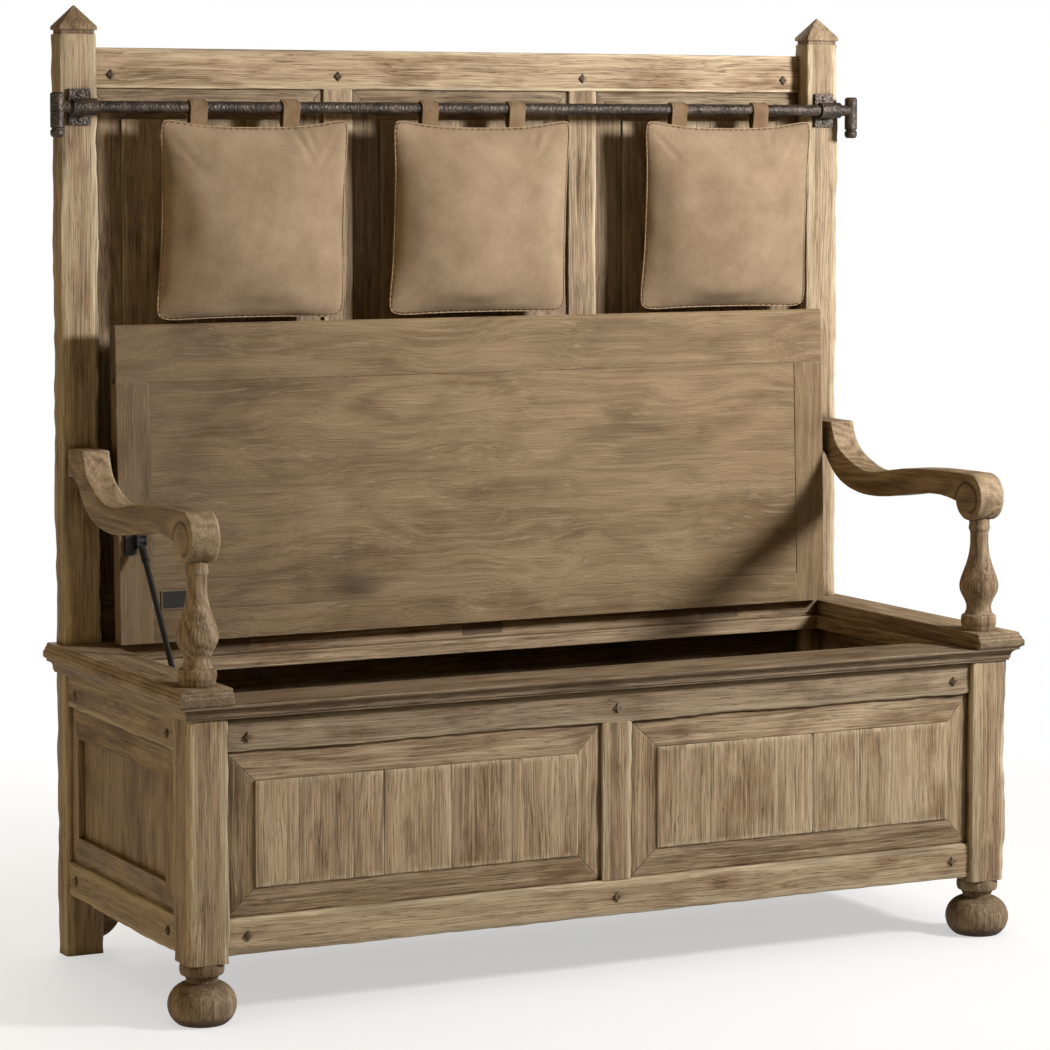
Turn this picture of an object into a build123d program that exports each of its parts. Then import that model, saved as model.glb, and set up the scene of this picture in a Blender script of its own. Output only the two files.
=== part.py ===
from build123d import *
import os
from math import atan2, cos, degrees, hypot, radians, sin, sqrt

os.makedirs("parts", exist_ok=True)

# Overall sizes in millimetres. X runs along the bench, Y from the front to the back, Z up.
bench_height = 1600.0
case_width = 1514.0
case_depth = 609.0
seat_height = 530.0
nose_overhang = 22.0
board_thickness = 27.0
frame_thickness = 23.0
foot_height = 96.0

# Posts
front_post_size = 69.0
rear_post_width = 67.0
rear_post_depth = 46.0
arris = 3.0
cap_height = 35.0
cap_band = 6.0
cap_groove = 7.0
cap_inset = 4.0
cap_tip = 3.0

# Frames and panels of the chest
front_recess = 10.0
side_recess = 5.0
rail_thickness = 24.0
top_rail_width = 56.0
bottom_rail_width = 60.0
rail_floor_gap = 104.0
muntin_width = 56.0
tenon_length = 30.0
tenon_thickness = 10.0
tenon_shoulder = 9.0
muntin_tenon = 18.0
panel_thickness = 8.0
panel_inset = 12.0
panel_tongue = 8.0
field_proud = 2.0
bevel_width = 46.0
bevel_edge = 4.0
bevel_rise = 7.0
mitre_gap = 0.6
floor_thickness = 12.0
floor_drop = 32.0
plank_gap = 1.6
plank_groove = 2.0
front_planks = 4

# Back
back_rail_thickness = 16.0
back_top_drop = 69.0
back_top_rail_width = 68.0
back_low_rail_rise = 54.5
back_muntin_share = 0.3464
back_tenon_thickness = 6.0
back_panel_thickness = 5.0
back_panel_inset = 8.0
back_bevel_width = 52.0
back_bevel_edge = 2.0
back_bevel_rise = 4.0
back_field_proud = 1.5
back_planks = 3
bracket_width = 42.0
bracket_drop = 84.0

# Pegs, square and turned on their corners
peg_size = 12.5
peg_depth = 14.0
peg_proud = 3.0
peg_inset = 34.0

# Moulded boards of the seat
bed_overhang = 16.0
bed_foot = 3.0
bed_fillet = 4.0
front_bed_width = 124.0
side_bed_width = 96.0
rear_bed_width = 93.0
end_board_inner = 69.0
nose_top = 12.4
nose_drop = 17.0
nose_band = 6.0
nose_under = 5.5
reed_bulge = 1.3

# Lid and its hinges
lid_open_angle = 92.0
lid_side_gap = 3.0
lid_clearance = 0.5
hinge_setback = 95.5
hinge_rise = 2.0
hinge_edge = 1.5
lid_front_rail_width = 97.0
lid_rear_rail_width = 52.0
lid_stile_width = 58.0
lid_panel_drop = 1.0
lid_tongue = 8.0
lid_tongue_thickness = 9.0
lid_tenon = 20.0
hinge_length = 76.0
hinge_inset = 205.0
leaf_thickness = 2.0
leaf_gap = 0.5
leaf_height = 22.0
barrel_radius = 4.2
pin_radius = 2.0
running_fit = 0.05
knuckle_gap = 0.3
moving_gap = 0.3

# Lid stay, a gas strut on the left
stay_inset = 34.0
stay_reach = 175.8
stay_drop = 10.2
stay_foot_y = 114.5
stay_foot_z = 208.7
stay_rod_radius = 5.0
stay_tube_radius = 11.0
stay_eye_radius = 8.0
stay_eye_width = 9.0
stay_pin_radius = 4.0
stay_fitting = 40.0
stay_overlap = 24.0
stay_plate = 4.0
stay_clear = 1.5
batten_width = 60.0

# Arms and their turned supports
arm_width = 50.0
arm_outset = 32.0
arm_top = 862.0
arm_root = 50.0
arm_sag = 81.0
arm_lift = 21.0
arm_depth = 45.0
arm_flat = 73.0
arm_tenon = 22.0
scroll_radius = 41.0
scroll_y = 40.0
support_radius = 30.75
support_bulb = 32.8
support_waist = 21.5
support_neck = 15.5
support_collar = 18.5
support_seat = 6.0

# Turned feet
bun_radius = 54.4
bun_pad = 38.0
bun_neck = 24.8
bun_collar = 35.5

# Hanging rod
rod_drop = 169.0
rod_standoff = 23.0
rod_radius = 10.5
ring_radius = 14.3
ring_length = 42.0
plate_width = 38.0
plate_height = 60.0
plate_thickness = 5.0
screw_offset = 21.0
screw_radius = 2.5
screw_head = 5.0
screw_length = 24.0
toggle_radius = 11.5
toggle_out = 13.0
toggle_above = 24.0
toggle_below = 51.0
toggle_groove = 5.0
toggle_socket = 8.0

# Hanging cushions
cushion_width = 346.0
cushion_clearance = 4.7
cushion_thickness = 92.0
cushion_lean = 2.0
cushion_set_forward = 6.0
cushion_gap = 22.0
cushion_left_inset = 334.0
cushion_centre_x = 7.0
cushion_right_inset = 255.0
cushion_pull = 14.0
loop_width = 33.0
loop_spacing = 169.0
loop_shift = -15.0
loop_thickness = 2.4
loop_slack = 0.6
loop_tuck = 12.0

# Positions that follow from the sizes above
sides = (("left", -1), ("right", 1))
half_width = case_width / 2
front_y = (nose_overhang - case_depth) / 2
back_y = front_y + case_depth
frame_top = seat_height - board_thickness
post_top = frame_top - frame_thickness
post_inner = half_width - front_post_size
post_back = front_y + front_post_size
rear_inner = half_width - rear_post_width
rear_face = back_y - rear_post_depth
top_rail_z = (post_top - top_rail_width, post_top)
bottom_rail_z = (rail_floor_gap, rail_floor_gap + bottom_rail_width)
opening_z = (bottom_rail_z[1], top_rail_z[0])
rail_face = front_y + front_recess
rail_back = rail_face + rail_thickness
tenon_set = (rail_thickness - tenon_thickness) / 2
tenon_y = (rail_face + tenon_set, rail_back - tenon_set)
panel_y = (rail_face + panel_inset, rail_face + panel_inset + panel_thickness)
side_face = half_width - side_recess
side_inner = side_face - rail_thickness
side_tenon = (side_inner + tenon_set, side_face - tenon_set)
side_panel_x = (side_face - panel_inset, side_face - panel_inset - panel_thickness)
back_face = back_y - back_rail_thickness
back_top = bench_height - back_top_drop
back_muntin_x = rear_inner * back_muntin_share
back_tenon_y = (back_face + 5.0, back_face + 5.0 + back_tenon_thickness)
back_panel_y = (back_face + back_panel_inset, back_face + back_panel_inset + back_panel_thickness)
back_top_z = (back_top - back_top_rail_width, back_top)
back_low_z = (post_top, seat_height + back_low_rail_rise)
back_open_z = (back_low_z[1], back_top_z[0])
back_bays = (
    ("left", -rear_inner, -back_muntin_x - muntin_width / 2),
    ("centre", -back_muntin_x + muntin_width / 2, back_muntin_x - muntin_width / 2),
    ("right", back_muntin_x + muntin_width / 2, rear_inner),
)
front_bays = (("left", -post_inner, -muntin_width / 2), ("right", muntin_width / 2, post_inner))
hinge_y = back_y - hinge_setback
hinge_z = seat_height + hinge_rise
end_inner = half_width - end_board_inner
lid_half = end_inner - lid_side_gap
hinge_xs = (hinge_inset - lid_half, 0.0, lid_half - hinge_inset)
stay_x = lid_half - stay_inset
rod_y = rear_face - rod_standoff
rod_z = bench_height - rod_drop
post_centre = half_width - rear_post_width / 2
toggle_x = half_width + toggle_out
arm_x = half_width - arm_outset
foot_x = half_width - front_post_size / 2
foot_y = front_y + front_post_size / 2
arm_dip = arm_top - arm_sag
arm_front_top = arm_dip + arm_lift
scroll_at = front_y + scroll_y
scroll_z = arm_front_top - scroll_radius

# The lid is drawn in its own frame: along X, then from the hinge to the nose, then up through its top
lean = radians(lid_open_angle)
lid_plane = Plane((0, hinge_y, hinge_z), x_dir=(-1, 0, 0), z_dir=(0, sin(lean), cos(lean)))
lid_section = Plane(lid_plane.origin, x_dir=lid_plane.y_dir, z_dir=lid_plane.x_dir)
lid_top = -hinge_rise
lid_bottom = lid_top - board_thickness + lid_clearance
lid_front = hinge_y - front_y + nose_overhang
lid_rail_line = lid_front - lid_front_rail_width
lid_panel_line = hinge_edge + lid_rear_rail_width
lid_stile_line = lid_half - lid_stile_width
lid_middle = (lid_top + lid_bottom) / 2
lid_tongue_z = (lid_middle - lid_tongue_thickness / 2, lid_middle + lid_tongue_thickness / 2)


def slab(x, y, z, mode=Mode.ADD):
    spans = [sorted(span) for span in (x, y, z)]
    with Locations(tuple((low + high) / 2 for low, high in spans)):
        Box(*(high - low for low, high in spans), mode=mode)


def both(span, sign):
    return (sign * span[0], sign * span[1])


def grown(span, by):
    return (span[0] - by, span[1] + by)


def bevel_ring(face, width, height, reach, edge, rise):
    # Four mitred strips around a panel, low at the rails and high at the field
    along_edge, outward = face.x_dir, face.y_dir
    length, across = width, height
    for turn in range(4):
        cut = Plane(face.origin + outward * (across / 2), x_dir=along_edge, z_dir=-outward)
        with BuildSketch(cut) as outer_end:
            with Locations((0, edge / 2)):
                Rectangle(length - 2 * mitre_gap, edge)
        with BuildSketch(cut.offset(reach)) as inner_end:
            with Locations((0, (edge + rise) / 2)):
                Rectangle(length - 2 * reach - 2 * mitre_gap, edge + rise)
        loft([outer_end.sketch, inner_end.sketch], ruled=True)
        along_edge, outward = outward, -along_edge
        length, across = across, length


def nose_cut(base, way, level):
    # What is planed away beside the nose: three reeds above it and a splay below it
    low = level - nose_drop
    far = nose_overhang + 2.0
    run = (nose_overhang - nose_top) / 3
    fall = nose_drop / 3
    slope = hypot(run, fall)

    def at(out, z):
        return (base + way * out, z)

    with BuildLine() as above:
        Polyline(at(far, low), at(far, level + 2.0), at(nose_top, level + 2.0), at(nose_top, level))
        for reed in range(3):
            out = nose_top + reed * run
            top = level - reed * fall
            bulge_out = out + run / 2 + reed_bulge * fall / slope
            bulge_top = top - fall / 2 + reed_bulge * run / slope
            ThreePointArc(at(out, top), at(bulge_out, bulge_top), at(out + run, top - fall))
        Line(at(nose_overhang, low), at(far, low))
    make_face(above.edges())
    under = low - nose_band
    foot = level - board_thickness
    with BuildLine() as below:
        Polyline(
            at(far, under),
            at(nose_overhang, under),
            at(nose_overhang - nose_under, foot),
            at(nose_overhang - nose_under, foot - 2.0),
            at(far, foot - 2.0),
            close=True,
        )
    make_face(below.edges())


def bed_cut(base, way):
    # What is planed away below the fillet of the lower moulding: a cove and a small foot
    far = bed_overhang + 2.0
    top = frame_top - bed_fillet
    foot = post_top + bed_fillet
    out = bed_overhang - 2.5
    inner = bed_foot + 2.0
    mid_out = inner + (out - inner) * 0.29
    mid_z = foot + (top - foot) * 0.71

    def at(away, z):
        return (base + way * away, z)

    with BuildLine() as cove:
        Polyline(at(far, post_top - 2.0), at(far, top), at(out, top))
        ThreePointArc(at(out, top), at(mid_out, mid_z), at(inner, foot))
        Polyline(at(inner, foot), at(bed_foot, foot), at(bed_foot, post_top - 2.0), at(far, post_top - 2.0))
    make_face(cove.edges())


def peg_sketch(points, size):
    with Locations(*points):
        Rectangle(size, size, rotation=45)


# Front posts, mortised for the front and side rails and grooved for the panels
for side, sign in sides:
    with BuildPart() as front_post:
        slab((sign * post_inner, sign * half_width), (front_y, post_back), (foot_height, post_top))
        chamfer(front_post.edges().filter_by(Axis.Z), arris)
        for rail_z in (top_rail_z, bottom_rail_z):
            tenon_z = grown(rail_z, -tenon_shoulder)
            slab(both((post_inner, post_inner + tenon_length), sign), tenon_y, tenon_z, Mode.SUBTRACT)
            slab(both(side_tenon, sign), (post_back - tenon_length, post_back), tenon_z, Mode.SUBTRACT)
        tongue_z = grown(opening_z, panel_tongue)
        slab(both((post_inner, post_inner + panel_tongue), sign), panel_y, tongue_z, Mode.SUBTRACT)
        slab(both(side_panel_x, sign), (post_back - panel_tongue, post_back), tongue_z, Mode.SUBTRACT)
    front_post.part.label = f"front_post_{side}"
    export_step(front_post.part, f"parts/front_post_{side}.step")

# Rear posts, one timber from the floor to a pointed cap
for side, sign in sides:
    cap_foot = bench_height - cap_height - cap_band - cap_groove
    post_x = both((rear_inner, half_width), sign)
    post_y = (rear_face, back_y)
    with BuildPart() as rear_post:
        slab(post_x, post_y, (0, cap_foot))
        chamfer(rear_post.edges().filter_by(Axis.Z), arris)
        inset_x = grown(tuple(sorted(post_x)), -cap_inset)
        slab(inset_x, grown(post_y, -cap_inset), (cap_foot, cap_foot + cap_groove))
        slab(post_x, post_y, (cap_foot + cap_groove, cap_foot + cap_groove + cap_band))
        with BuildSketch(Plane.XY.offset(bench_height - cap_height)):
            with Locations((sign * post_centre, (rear_face + back_y) / 2)):
                Rectangle(rear_post_width, rear_post_depth)
        with BuildSketch(Plane.XY.offset(bench_height)):
            with Locations((sign * post_centre, (rear_face + back_y) / 2)):
                Rectangle(cap_tip, cap_tip)
        loft(ruled=True)
        for rail_z in (top_rail_z, bottom_rail_z):
            tenon_z = grown(rail_z, -tenon_shoulder)
            slab(both(side_tenon, sign), (rear_face, rear_face + tenon_length), tenon_z, Mode.SUBTRACT)
        for rail_z in (back_top_z, back_low_z):
            tenon_z = grown(rail_z, -tenon_shoulder)
            slab(both((rear_inner, rear_inner + tenon_length), sign), back_tenon_y, tenon_z, Mode.SUBTRACT)
        tongue_z = grown(opening_z, panel_tongue)
        slab(both(side_panel_x, sign), (rear_face, rear_face + panel_tongue), tongue_z, Mode.SUBTRACT)
        tongue_z = grown(back_open_z, panel_tongue)
        slab(both((rear_inner, rear_inner + panel_tongue), sign), back_panel_y, tongue_z, Mode.SUBTRACT)
        arm_tenon_z = (arm_top - arm_root + tenon_shoulder, arm_top - tenon_shoulder)
        arm_tenon_x = (sign * arm_x - tenon_thickness, sign * arm_x + tenon_thickness)
        slab(arm_tenon_x, (rear_face, rear_face + arm_tenon), arm_tenon_z, Mode.SUBTRACT)
        with BuildSketch(Plane.XZ.offset(-rear_face)):
            screw_x = sign * post_centre
            with Locations((screw_x, rod_z - screw_offset), (screw_x, rod_z + screw_offset)):
                Circle(screw_radius + running_fit)
        extrude(amount=-screw_length, mode=Mode.SUBTRACT)
    rear_post.part.label = f"rear_post_{side}"
    export_step(rear_post.part, f"parts/rear_post_{side}.step")

# Turned bun feet under the front posts, one group
with BuildPart() as bun_feet:
    for side, sign in sides:
        foot_axis = Axis((sign * foot_x, foot_y, 0), (0, 0, 1))
        foot_plane = Plane((sign * foot_x, foot_y, 0), x_dir=(1, 0, 0), z_dir=(0, -1, 0))
        with BuildSketch(foot_plane):
            with BuildLine():
                Line((0, 0), (bun_pad, 0))
                ThreePointArc(
                    (bun_pad, 0),
                    (bun_radius, foot_height * 0.33),
                    (bun_neck + 4, foot_height * 0.67),
                )
                Line((bun_neck + 4, foot_height * 0.67), (bun_neck, foot_height * 0.69))
                ThreePointArc(
                    (bun_neck, foot_height * 0.69),
                    (bun_neck + 2.4, foot_height * 0.77),
                    (bun_collar - 2, foot_height * 0.81),
                )
                ThreePointArc(
                    (bun_collar - 2, foot_height * 0.81),
                    (bun_collar, foot_height * 0.9),
                    (bun_collar - 2, foot_height),
                )
                Polyline((bun_collar - 2, foot_height), (0, foot_height), (0, 0))
            make_face()
        revolve(axis=foot_axis)
bun_feet.part.label = "bun_feet"
export_step(bun_feet.part, "parts/bun_feet.step")

# Rails of the chest front
front_peg_xs = (-post_inner + peg_inset, 0.0, post_inner - peg_inset)
front_peg_zs = ((top_rail_z[0] + top_rail_z[1]) / 2 - 4.0, (bottom_rail_z[0] + bottom_rail_z[1]) / 2 + 1.0)
for name, rail_z, way, peg_z in (
    ("front_top_rail", top_rail_z, 1, front_peg_zs[0]),
    ("front_bottom_rail", bottom_rail_z, -1, front_peg_zs[1]),
):
    edge = rail_z[0] if way > 0 else rail_z[1]
    with BuildPart() as front_rail:
        slab((-post_inner, post_inner), (rail_face, rail_back), rail_z)
        reach = post_inner + tenon_length
        slab((-reach, reach), tenon_y, grown(rail_z, -tenon_shoulder))
        slab((-post_inner, post_inner), panel_y, (edge, edge + way * panel_tongue), Mode.SUBTRACT)
        tenon_x = grown((-muntin_width / 2, muntin_width / 2), -tenon_shoulder)
        slab(tenon_x, tenon_y, (edge, edge + way * muntin_tenon), Mode.SUBTRACT)
        with BuildSketch(Plane.XZ.offset(-rail_face)):
            peg_sketch([(x, peg_z) for x in front_peg_xs], peg_size)
        extrude(amount=-peg_depth, mode=Mode.SUBTRACT)
    front_rail.part.label = name
    export_step(front_rail.part, f"parts/{name}.step")

with BuildPart() as front_muntin:
    slab((-muntin_width / 2, muntin_width / 2), (rail_face, rail_back), opening_z)
    muntin_span = (-muntin_width / 2, muntin_width / 2)
    slab(grown(muntin_span, -tenon_shoulder), tenon_y, grown(opening_z, muntin_tenon))
    for sign in (-1, 1):
        groove_x = both((muntin_width / 2, muntin_width / 2 - panel_tongue), sign)
        slab(groove_x, panel_y, opening_z, Mode.SUBTRACT)
    with BuildSketch(Plane.XZ.offset(-rail_face)):
        peg_sketch([(0, z) for z in front_peg_zs], peg_size)
    extrude(amount=-peg_depth, mode=Mode.SUBTRACT)
front_muntin.part.label = "front_muntin"
export_step(front_muntin.part, "parts/front_muntin.step")

# Front panels: a board in grooves with a proud field of upright planks
for side, low_x, high_x in front_bays:
    field_x = (low_x + bevel_width, high_x - bevel_width)
    field_face = rail_face - field_proud
    pitch = (field_x[1] - field_x[0]) / front_planks
    with BuildPart() as front_panel:
        slab(grown((low_x, high_x), panel_tongue), panel_y, grown(opening_z, panel_tongue))
        slab(field_x, (field_face, panel_y[0]), grown(opening_z, -bevel_width))
        for joint in range(1, front_planks):
            joint_x = field_x[0] + joint * pitch
            gap_x = (joint_x - plank_gap / 2, joint_x + plank_gap / 2)
            slab(gap_x, (field_face, field_face + plank_groove), opening_z, Mode.SUBTRACT)
    front_panel.part.label = f"front_panel_{side}"
    export_step(front_panel.part, f"parts/front_panel_{side}.step")

with BuildPart() as front_bevels:
    for side, low_x, high_x in front_bays:
        centre = ((low_x + high_x) / 2, panel_y[0], (opening_z[0] + opening_z[1]) / 2)
        panel_face = Plane(centre, x_dir=(1, 0, 0), z_dir=(0, -1, 0))
        tall = opening_z[1] - opening_z[0]
        bevel_ring(panel_face, high_x - low_x, tall, bevel_width, bevel_edge, bevel_rise)
front_bevels.part.label = "front_bevels"
export_step(front_bevels.part, "parts/front_bevels.step")

# Rails and panels of the two ends
side_peg_ys = (post_back + peg_inset, rear_face - peg_inset)
for side, sign in sides:
    with BuildPart() as side_rails:
        for rail_z, way, peg_z in (
            (top_rail_z, 1, front_peg_zs[0]),
            (bottom_rail_z, -1, front_peg_zs[1]),
        ):
            edge = rail_z[0] if way > 0 else rail_z[1]
            slab(both((side_inner, side_face), sign), (post_back, rear_face), rail_z)
            tenon_ends = (post_back - tenon_length, rear_face + tenon_length)
            slab(both(side_tenon, sign), tenon_ends, grown(rail_z, -tenon_shoulder))
            groove_z = (edge, edge + way * panel_tongue)
            slab(both(side_panel_x, sign), (post_back, rear_face), groove_z, Mode.SUBTRACT)
            with BuildSketch(Plane.YZ.offset(sign * side_face)):
                peg_sketch([(y, peg_z) for y in side_peg_ys], peg_size)
            extrude(amount=-sign * peg_depth, mode=Mode.SUBTRACT)
    side_rails.part.label = f"side_rails_{side}"
    export_step(side_rails.part, f"parts/side_rails_{side}.step")

    with BuildPart() as side_panel:
        side_open_y = grown((post_back, rear_face), panel_tongue)
        slab(both(side_panel_x, sign), side_open_y, grown(opening_z, panel_tongue))
    side_panel.part.label = f"side_panel_{side}"
    export_step(side_panel.part, f"parts/side_panel_{side}.step")

with BuildPart() as side_bevels:
    for side, sign in sides:
        middle_y = (post_back + rear_face) / 2
        centre = (sign * side_panel_x[0], middle_y, (opening_z[0] + opening_z[1]) / 2)
        panel_face = Plane(centre, x_dir=(0, sign, 0), z_dir=(sign, 0, 0))
        tall = opening_z[1] - opening_z[0]
        bevel_ring(panel_face, rear_face - post_back, tall, bevel_width, bevel_edge, bevel_rise)
side_bevels.part.label = "side_bevels"
export_step(side_bevels.part, "parts/side_bevels.step")

# Frame of the tall back
back_peg_xs = (-rear_inner + peg_inset, -back_muntin_x, back_muntin_x, rear_inner - peg_inset)
back_peg_zs = (back_top_z[0] + back_top_rail_width * 0.34, seat_height + back_low_rail_rise / 2)
back_peg_depth = back_rail_thickness / 2
for name, rail_z, way, peg_z in (
    ("back_top_rail", back_top_z, 1, back_peg_zs[0]),
    ("back_low_rail", back_low_z, -1, back_peg_zs[1]),
):
    edge = rail_z[0] if way > 0 else rail_z[1]
    with BuildPart() as back_rail:
        slab((-rear_inner, rear_inner), (back_face, back_y), rail_z)
        reach = rear_inner + tenon_length
        slab((-reach, reach), back_tenon_y, grown(rail_z, -tenon_shoulder))
        slab((-rear_inner, rear_inner), back_panel_y, (edge, edge + way * panel_tongue), Mode.SUBTRACT)
        for sign in (-1, 1):
            centre_x = sign * back_muntin_x
            tenon_x = grown((centre_x - muntin_width / 2, centre_x + muntin_width / 2), -tenon_shoulder)
            slab(tenon_x, back_tenon_y, (edge, edge + way * muntin_tenon), Mode.SUBTRACT)
        with BuildSketch(Plane.XZ.offset(-back_face)):
            peg_sketch([(x, peg_z) for x in back_peg_xs], peg_size)
        extrude(amount=-back_peg_depth, mode=Mode.SUBTRACT)
    back_rail.part.label = name
    export_step(back_rail.part, f"parts/{name}.step")

with BuildPart() as back_muntins:
    for sign in (-1, 1):
        centre_x = sign * back_muntin_x
        muntin_x = (centre_x - muntin_width / 2, centre_x + muntin_width / 2)
        slab(muntin_x, (back_face, back_y), back_open_z)
        slab(grown(muntin_x, -tenon_shoulder), back_tenon_y, grown(back_open_z, muntin_tenon))
        slab((muntin_x[0], muntin_x[0] + panel_tongue), back_panel_y, back_open_z, Mode.SUBTRACT)
        slab((muntin_x[1] - panel_tongue, muntin_x[1]), back_panel_y, back_open_z, Mode.SUBTRACT)
    with BuildSketch(Plane.XZ.offset(-back_face)):
        peg_sketch([(x, z) for x in (-back_muntin_x, back_muntin_x) for z in back_peg_zs], peg_size)
    extrude(amount=-back_peg_depth, mode=Mode.SUBTRACT)
back_muntins.part.label = "back_muntins"
export_step(back_muntins.part, "parts/back_muntins.step")

for bay, low_x, high_x in back_bays:
    field_x = (low_x + back_bevel_width, high_x - back_bevel_width)
    field_face = back_face - back_field_proud
    pitch = (field_x[1] - field_x[0]) / back_planks
    with BuildPart() as back_panel:
        slab(grown((low_x, high_x), panel_tongue), back_panel_y, grown(back_open_z, panel_tongue))
        slab(field_x, (field_face, back_panel_y[0]), grown(back_open_z, -back_bevel_width))
        for joint in range(1, back_planks):
            joint_x = field_x[0] + joint * pitch
            gap_x = (joint_x - plank_gap / 2, joint_x + plank_gap / 2)
            slab(gap_x, (field_face, field_face + plank_groove), back_open_z, Mode.SUBTRACT)
    back_panel.part.label = f"back_panel_{bay}"
    export_step(back_panel.part, f"parts/back_panel_{bay}.step")

with BuildPart() as back_bevels:
    for bay, low_x, high_x in back_bays:
        centre = ((low_x + high_x) / 2, back_panel_y[0], (back_open_z[0] + back_open_z[1]) / 2)
        panel_face = Plane(centre, x_dir=(1, 0, 0), z_dir=(0, -1, 0))
        tall = back_open_z[1] - back_open_z[0]
        bevel_ring(panel_face, high_x - low_x, tall, back_bevel_width, back_bevel_edge, back_bevel_rise)
back_bevels.part.label = "back_bevels"
export_step(back_bevels.part, "parts/back_bevels.step")

# Back and floor of the chest, and the shaped brackets behind the rear feet
with BuildPart() as chest_back:
    slab((-rear_inner, rear_inner), (back_face, back_y), (rail_floor_gap, post_top))
chest_back.part.label = "chest_back"
export_step(chest_back.part, "parts/chest_back.step")

floor_z = (bottom_rail_z[1] - floor_drop - floor_thickness, bottom_rail_z[1] - floor_drop)
with BuildPart() as chest_floor:
    slab((-side_inner, side_inner), (rail_back, back_face), floor_z)
    for sign in (-1, 1):
        slab(both((post_inner, half_width), sign), (front_y, post_back), floor_z, Mode.SUBTRACT)
        slab(both((rear_inner, half_width), sign), (rear_face, back_y), floor_z, Mode.SUBTRACT)
chest_floor.part.label = "chest_floor"
export_step(chest_floor.part, "parts/chest_floor.step")

with BuildPart() as rear_brackets:
    for sign in (-1, 1):
        top = rail_floor_gap
        with BuildSketch(Plane.XZ.offset(-back_face)):
            with BuildLine():
                Polyline(
                    (sign * rear_inner, top - bracket_drop),
                    (sign * rear_inner, top),
                    (sign * (rear_inner - bracket_width), top),
                    (sign * (rear_inner - bracket_width), top - bracket_drop * 0.3),
                )
                ThreePointArc(
                    (sign * (rear_inner - bracket_width), top - bracket_drop * 0.3),
                    (sign * (rear_inner - bracket_width * 0.72), top - bracket_drop * 0.8),
                    (sign * rear_inner, top - bracket_drop),
                )
            make_face()
        extrude(amount=-back_rail_thickness)
rear_brackets.part.label = "rear_brackets"
export_step(rear_brackets.part, "parts/rear_brackets.step")

# Lower moulding of the seat, mitred at the front corners
bed_x = half_width + bed_overhang
bed_front = front_y - bed_overhang
bed_inner = bed_x - side_bed_width
bed_mitre_y = bed_front + side_bed_width
bed_back = bed_front + front_bed_width
with BuildPart() as seat_bed_front:
    with BuildSketch(Plane.XY.offset(post_top)):
        with BuildLine():
            Polyline(
                (-bed_x, bed_front),
                (bed_x, bed_front),
                (bed_inner, bed_mitre_y),
                (bed_inner, bed_back),
                (-bed_inner, bed_back),
                (-bed_inner, bed_mitre_y),
                close=True,
            )
        make_face()
    extrude(amount=frame_thickness)
    with BuildSketch(Plane.YZ):
        bed_cut(front_y, -1)
    extrude(amount=case_width, both=True, mode=Mode.SUBTRACT)
seat_bed_front.part.label = "seat_bed_front"
export_step(seat_bed_front.part, "parts/seat_bed_front.step")

for side, sign in sides:
    with BuildPart() as seat_bed_side:
        with BuildSketch(Plane.XY.offset(post_top)):
            with BuildLine():
                Polyline(
                    (sign * bed_x, bed_front),
                    (sign * bed_x, back_y),
                    (sign * bed_inner, back_y),
                    (sign * bed_inner, bed_mitre_y),
                    close=True,
                )
            make_face()
        extrude(amount=frame_thickness)
        with BuildSketch(Plane.XZ):
            bed_cut(sign * half_width, sign)
        extrude(amount=case_depth, both=True, mode=Mode.SUBTRACT)
        slab(both((0, half_width), sign), (rear_face, back_y), (post_top, frame_top), Mode.SUBTRACT)
    seat_bed_side.part.label = f"seat_bed_{side}"
    export_step(seat_bed_side.part, f"parts/seat_bed_{side}.step")

with BuildPart() as seat_bed_rear:
    slab((-bed_inner, bed_inner), (back_face - rear_bed_width, back_face), (post_top, frame_top))
seat_bed_rear.part.label = "seat_bed_rear"
export_step(seat_bed_rear.part, "parts/seat_bed_rear.step")

# End boards of the seat, moulded on the outer and front edges and notched round the rear posts
for side, sign in sides:
    with BuildPart() as end_board:
        outer = half_width + nose_overhang
        slab(both((end_inner, outer), sign), (front_y - nose_overhang, back_y), (frame_top, seat_height))
        notch_y = (rear_face, back_y)
        notch_z = (frame_top, seat_height)
        slab(both((rear_inner, half_width), sign), notch_y, notch_z, Mode.SUBTRACT)
        slab(both((end_inner, rear_inner), sign), notch_y, notch_z, Mode.SUBTRACT)
        with BuildSketch(Plane.YZ):
            nose_cut(front_y, -1, seat_height)
        extrude(amount=case_width, both=True, mode=Mode.SUBTRACT)
        with BuildSketch(Plane.XZ):
            nose_cut(sign * half_width, sign, seat_height)
        extrude(amount=case_depth, both=True, mode=Mode.SUBTRACT)
    end_board.part.label = f"end_board_{side}"
    export_step(end_board.part, f"parts/end_board_{side}.step")

# Fixed strip behind the lid, let in for the hinges
with BuildPart() as rear_strip:
    slab((-end_inner, end_inner), (hinge_y + hinge_edge, back_face), (frame_top, seat_height))
    for hinge_x in hinge_xs:
        leaf_x = grown((hinge_x - hinge_length / 2, hinge_x + hinge_length / 2), knuckle_gap)
        leaf_y = (hinge_y + hinge_edge, hinge_y + leaf_gap + leaf_thickness)
        slab(leaf_x, leaf_y, (hinge_z - leaf_height, seat_height), Mode.SUBTRACT)
        with BuildSketch(Plane.YZ.offset(leaf_x[0])):
            with Locations((hinge_y, hinge_z)):
                Circle(barrel_radius + moving_gap)
        extrude(amount=leaf_x[1] - leaf_x[0], mode=Mode.SUBTRACT)
rear_strip.part.label = "rear_strip"
export_step(rear_strip.part, "parts/rear_strip.step")

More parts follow.
